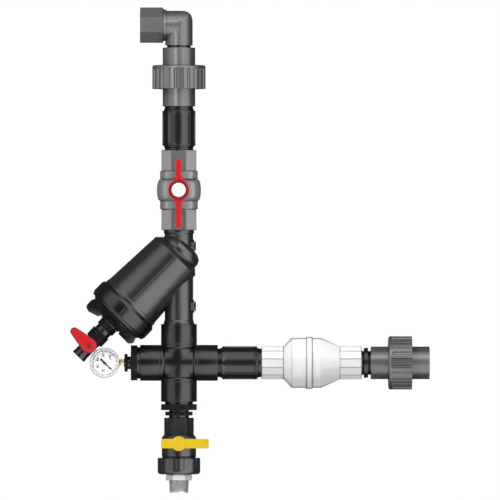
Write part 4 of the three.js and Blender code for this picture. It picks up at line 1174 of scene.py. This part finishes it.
def check_valve_poppet(line, low, guide):
    """The poppet, its seal and the spring between it and the guide."""
    start, end, disc_r = line.span("check_valve_poppet")
    poppet = rounded([
        (0, start), (14, start, 1.5), (14, low + 55), (disc_r, low + 55, 0.8), (disc_r, low + 59, 1.0),
        (10, low + 62, 2), (7, low + 66, 0.6), (3.2, low + 66, 0.5), (3.2, end, 0.8), (0, end),
    ])
    piece("check_valve_poppet", spun(poppet), line, WHITE)
    seal_low, seal_high, seal_r = line.span("check_valve_poppet_seal")
    seal = rectangle(14.3, seal_r, seal_low, seal_high, (0.3, 0.6, 0.6, 0.3))
    piece("check_valve_poppet_seal", spun(seal), line, RUBBER)

    wire_r, coils, coil_r, steps = 0.7, 4, 5.6, 24
    spring_low, spring_high = low + 67.5, guide - 3.2
    path = []
    for k in range(coils * steps + 1):
        angle = TAU * k / steps
        z = spring_low + (spring_high - spring_low) * k / (coils * steps)
        path.append(Vector((coil_r * math.cos(angle), coil_r * math.sin(angle), z)))
    spring = piece("check_valve_spring", swept(path, oval(wire_r, wire_r, 10)), line, STEEL)
    tuple(line.point(spring_high))
    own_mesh(spring)


# ---------------------------------------------------------------- drain group
def drain_branch():
    """The bushing and nipple that step down to the drain valve."""
    line = DOWN
    low, high, flange_r = line.span("drain_bushing")
    face = line.span("cross_fitting")[1]
    flange_low = high - 9.7
    bushing = rounded([
        (15.8, low, 0.4), (THREAD_R - 0.8, low, 0.5), (THREAD_R, face + GAP, 0.2), (23.8, face + 0.4, 0.4),
        (23.8, flange_low - 0.4, 0.6), (flange_r, flange_low, 0.8), (flange_r, high, 0.8), (15.8, high, 0.5),
    ])
    piece("drain_bushing", spun(bushing, flats(8, 30.3, flange_low - 0.1, high)), line, BLACK)

    step = high
    low, high, collar_r = line.span("drain_nipple")
    body_low = line.span("drain_valve_body")[0]
    collar_low, collar_high = step + 3, step + 9.2
    nipple = rounded([
        (12, low, 0.4), (15.5, low, 0.4), (15.5, step + GAP, 0.1), (16.6, step + GAP, 0.3),
        (16.6, collar_low, 0.5), (collar_r, collar_low, 0.7), (collar_r, collar_high, 0.7),
        (16.9, collar_high, 0.5), (16.9, body_low - GAP, 0.4), (15.5, body_low - GAP, 0.1), (15.5, high, 0.4),
        (12, high, 0.4),
    ])
    piece("drain_nipple", spun(nipple, flats(8, 23.2, collar_low - 0.2, collar_high + 0.2)), line, BLACK)
    drain_valve(line)


def drain_valve(line):
    """A ball valve whose lower nut holds a threaded adapter."""
    body_low = line.span("drain_valve_body")[0]
    nut_low, nut_high, nut_r = line.span("drain_valve_nut")
    pivot = pivot_of("drain_valve_turn", line).z
    shoulder_r, cavity_r, cavity_low, cavity_high, hex_to = 31.4, 19.5, 121.8, 175, 122.8
    body = rounded([
        (12, 112, 0.4), (15.8, 112, 0.4), (15.8, body_low, 0.4), (25.2, body_low, 0.8), (25.2, hex_to, 0.4),
        (26.4, hex_to + 0.4, 0.4), (29.2, 127, 1.2), (29.2, nut_low - 3.4, 1.0), (28.2, nut_low - 1.6, 0.8),
        (28.2, nut_low - 0.5, 0.4), (shoulder_r, nut_low + 0.2, 0.4), (shoulder_r, cavity_high, 0.5),
        (cavity_r, cavity_high, 0.4), (cavity_r, cavity_low, 0.8), (12, cavity_low, 0.5),
    ])
    shell = spun(body, flats(6, 21.9, body_low - 0.1, hex_to + 0.1))
    shell = combined("UNION", shell, forward(rod(12, 20, 35, 0.8), z=pivot))
    cavity = rod(cavity_r - 0.05, cavity_low + 0.5, cavity_high - 1, around=AROUND)
    shell = combined("DIFFERENCE", shell, cavity, forward(rod(5.4, 10, 37), z=pivot))
    piece("drain_valve_body", shell, line, CANISTER_BLACK)

    nut_bore, tail_bore = 32.3, 21.1
    nut = rounded([
        (nut_bore, nut_low, 0.5), (nut_r, nut_low, 0.9), (nut_r, nut_high, 7.5),
        (tail_bore + 3, nut_high, 1.0), (tail_bore, nut_high - 0.4, 0.6), (tail_bore, 183.2, 0.3),
        (nut_bore, 183.2, 0.4),
    ], steps=8)
    grip = grooves(18, 0.4, nut_r - 2.4, nut_low - 4, nut_high - 7, share=0.5, run_out=2.2)
    nut = spun(split_up(nut, nut_low, nut_high - 5, 1.2), grip, around=288)
    piece("drain_valve_nut", nut, line, CANISTER_BLACK)
    drain_adapter(line, nut_high)

    at = line.onward(pivot)
    ball_and_stem(
        "drain_valve", at, turned(bored_ball(16.9, 12), 90, "Y"), (WHITE, BLACK),
        slot=(6, 2.3, 14.2, 18), tang=(4.4, 2, 14.7, 18.4), shank=(5, 17.8, 36, 0.4),
        square=(3.4, 3.4, 35, 44), soft=0.25,
    )
    low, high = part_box("drain_valve_handle")
    left, right = (run_x - high.x) / MM, (run_x - low.x) / MM
    hub_r, half, back, front = 12.4, 8.0, 38.0, 48.0
    arm = rectangle(left, right, -half, half, [1.2] * 4)
    hub = forward(spun(rectangle(0, hub_r, 36, front, (0, 0.8, 1.2, 0))))
    shape = combined("UNION", softened(extruded(arm, back, front - 0.6), 0.9, 3), hub)
    piece("drain_valve_handle", combined("DIFFERENCE", shape, bar(3.7, 3.7, 30, 44.5)), at, YELLOW)


def drain_adapter(line, nut_high):
    """The plated hexagon and male thread below the nut."""
    start, end, _ = line.span("drain_adapter")
    hex_low, hex_high, tail_r, bore_r = nut_high + 1, nut_high + 10.2, 20.4, 12
    thread_low, thread_high = hex_high + 1.6, end - 2.6
    outer = rounded([
        (bore_r, start, 0.5), (19.2, start, 0.5), (19.2, 175.3, 0.4), (28, 175.3, 0.6), (28, 182.8, 0.6),
        (tail_r, 182.8, 0.4), (tail_r, hex_low, 0.3), (22.2, hex_low, 0.8), (22.2, hex_high, 0.8),
        (16.2, hex_high + 0.4, 0.6), (15.8, thread_low, 0.3), (17.3, hex_high + 2.0, 0.2),
        (16.4, end - 3, 0.4), (15.4, thread_high, 0.3), (15.4, end, 0.6), (bore_r, end, 0.5),
    ])
    screw = thread(2.31, 1.45, 15.6, hex_high + 1.8, end - 3)
    section = both(flats(6, 19.3, hex_low - 0.1, hex_high + 0.1), screw)
    piece("drain_adapter", spun(split_up(outer, thread_low, thread_high, 0.22), section), line, STEEL)


# ---------------------------------------------------------------- stage, lights and camera
def area_light(name, place, target, size, power, glossy=True, only_on=None):
    """A rectangular light; only_on limits it to a collection of pieces."""
    data = bpy.data.lights.new(name, "AREA")
    data.shape, data.size, data.size_y = "RECTANGLE", size[0], size[1]
    data.energy = power
    light = bpy.data.objects.new(name, data)
    light.location = place
    light.rotation_euler = (Vector(target) - Vector(place)).to_track_quat("-Z", "Y").to_euler()
    light.visible_glossy = glossy
    bpy.context.scene.collection.objects.link(light)
    if only_on:
        light.light_linking.receiver_collection = only_on


def wearing(name, *finishes):
    """A collection of the pieces that wear any of these materials."""
    group = bpy.data.collections.new(name)
    for shown in bpy.context.scene.objects:
        if shown.type == "MESH" and any(m in finishes for m in shown.data.materials):
            group.objects.link(shown)
    return group


def surroundings():
    """A white backdrop that lights evenly, with soft boxes round the camera for shiny surfaces to reflect."""
    world = bpy.data.worlds.new("studio")
    world.use_nodes = True
    tree = world.node_tree
    tree.nodes.clear()

    def add(kind, *inputs, **settings):
        node = tree.nodes.new(kind)
        for key, value in settings.items():
            setattr(node, key, value)
        for socket, value in zip(node.inputs, inputs):
            if isinstance(value, bpy.types.NodeSocket):
                tree.links.new(value, socket)
            elif value is not None:
                socket.default_value = value
        return node

    def ramp(value, start, end, low, high):
        node = add("ShaderNodeMapRange", value, start, end, low, high, interpolation_type="SMOOTHSTEP")
        return node.outputs[0]

    def times(first, second):
        return add("ShaderNodeMath", first, second, operation="MULTIPLY").outputs[0]

    ray = add("ShaderNodeTexCoord").outputs["Generated"]
    way = add("ShaderNodeSeparateXYZ", ray).outputs
    core = tuple(Vector(CORE_AT).normalized())
    off_core = add("ShaderNodeVectorMath", ray, core, operation="DOT_PRODUCT").outputs["Value"]
    round_core = ramp(off_core, 0.985, 0.87, CORE_GLOW, BOX_GLOW)
    to_side = ramp(way["X"], -0.6, 0.45, LEFT_SHARE, 1.0)
    behind = ramp(way["Y"], -0.5, 0.05, 1.0, 0.02)
    shine = times(times(round_core, to_side), behind)
    path = add("ShaderNodeLightPath").outputs
    backdrop = add("ShaderNodeBackground", (1, 1, 1, 1), 1.0).outputs[0]
    even = add("ShaderNodeBackground", (0.97, 0.98, 1, 1), EVEN_GLOW).outputs[0]
    boxes = add("ShaderNodeBackground", (1, 1, 1, 1), shine).outputs[0]
    bounced = add("ShaderNodeMixShader", path["Is Glossy Ray"], even, boxes).outputs[0]
    seen = add("ShaderNodeMixShader", path["Is Camera Ray"], bounced, backdrop).outputs[0]
    add("ShaderNodeOutputWorld", seen)
    return world


def pale_floor():
    """A pale floor that can't be seen from below."""
    floor_mesh = bpy.data.meshes.new("floor")
    half, drop = 1.2, -0.52
    corners = [(-half, -half, drop), (half, -half, drop), (half, half, drop), (-half, half, drop)]
    floor_mesh.from_pydata(corners, [], [(0, 1, 2, 3)])
    n = Nodes("pale_floor")
    pale = n.mixed(n.spread(n.noise(3), 0, 1), (0.86, 0.86, 0.86, 1), (0.9, 0.9, 0.9, 1))
    from_below = n.add("ShaderNodeNewGeometry").outputs["Backfacing"]
    shown = n.spread(from_below, 1, 0, 0, 1)
    floor_mesh.materials.append(n.finished({"Base Color": pale, "Roughness": 0.7, "Alpha": shown}))
    floor = bpy.data.objects.new("floor", floor_mesh)
    floor.visible_glossy = False
    bpy.context.scene.collection.objects.link(floor)


def lights():
    """A key light and a back light, and strips that shine only on pieces of certain materials."""
    area_light("key", (-1.25, -1.45, 1.5), (0, 0, 0), (0.9, 0.9), 40, glossy=False)
    area_light("back", (0.9, 1.9, 0.5), (0, 0, 0), (1.2, 1.2), 16, glossy=False)
    unions = wearing("unions", GREY)
    valve = wearing("valve", VALVE_GREY, RED_BAR, RED_SHADE_RING)
    whites = wearing("whites", WHITE, DISC_WHITE, STEEL)
    area_light("union_strip", (-0.85, -1.82, 0.2), (-0.1, 0, 0.1), (0.4, 2.4), 30, only_on=unions)
    area_light("union_top", (0.1, -1.5, 1.25), (0, 0, 0.1), (2.4, 0.4), 15, only_on=unions)
    area_light("white_top", (0.1, -0.7, 1.5), (0.1, 0, -0.1), (0.8, 0.8), 17, glossy=False, only_on=whites)
    area_light("valve_right", (1.3, -0.25, 0.15), (-0.12, 0, 0.1), (0.5, 1.6), 20, only_on=valve)
    area_light("valve_left", (-1.5, -0.25, 0.15), (-0.12, 0, 0.1), (0.5, 1.6), 14, only_on=valve)


def studio():
    scene = bpy.context.scene
    scene.view_settings.view_transform = "Standard"
    scene.world = surroundings()
    pale_floor()
    lights()

    frame_width = 0.85  # metres across the picture
    lens = bpy.data.cameras.new("camera")
    lens.lens, lens.sensor_width = 600, 36
    camera = bpy.data.objects.new("camera", lens)
    camera.location = (0, -frame_width * lens.lens / lens.sensor_width, 0.0004)
    camera.rotation_euler = (math.pi / 2, 0, 0)
    scene.collection.objects.link(camera)
    scene.camera = camera


# ---------------------------------------------------------------- the whole set
inlet_elbow()
close_nipple("elbow_nipple", UP)
union("inlet", UP)
ribbed_nipple("inlet_nipple", UP)
isolating_valve()
strainer_body()
strainer_cap()
strainer_basket()
flush_valve()
cross_fitting()
gauge_branch()
gauge()
ribbed_nipple("outlet_nipple", RIGHT)
check_valve()
close_nipple("outlet_close_nipple", RIGHT, collar=True)
union("outlet", LEFT)
drain_branch()
studio()
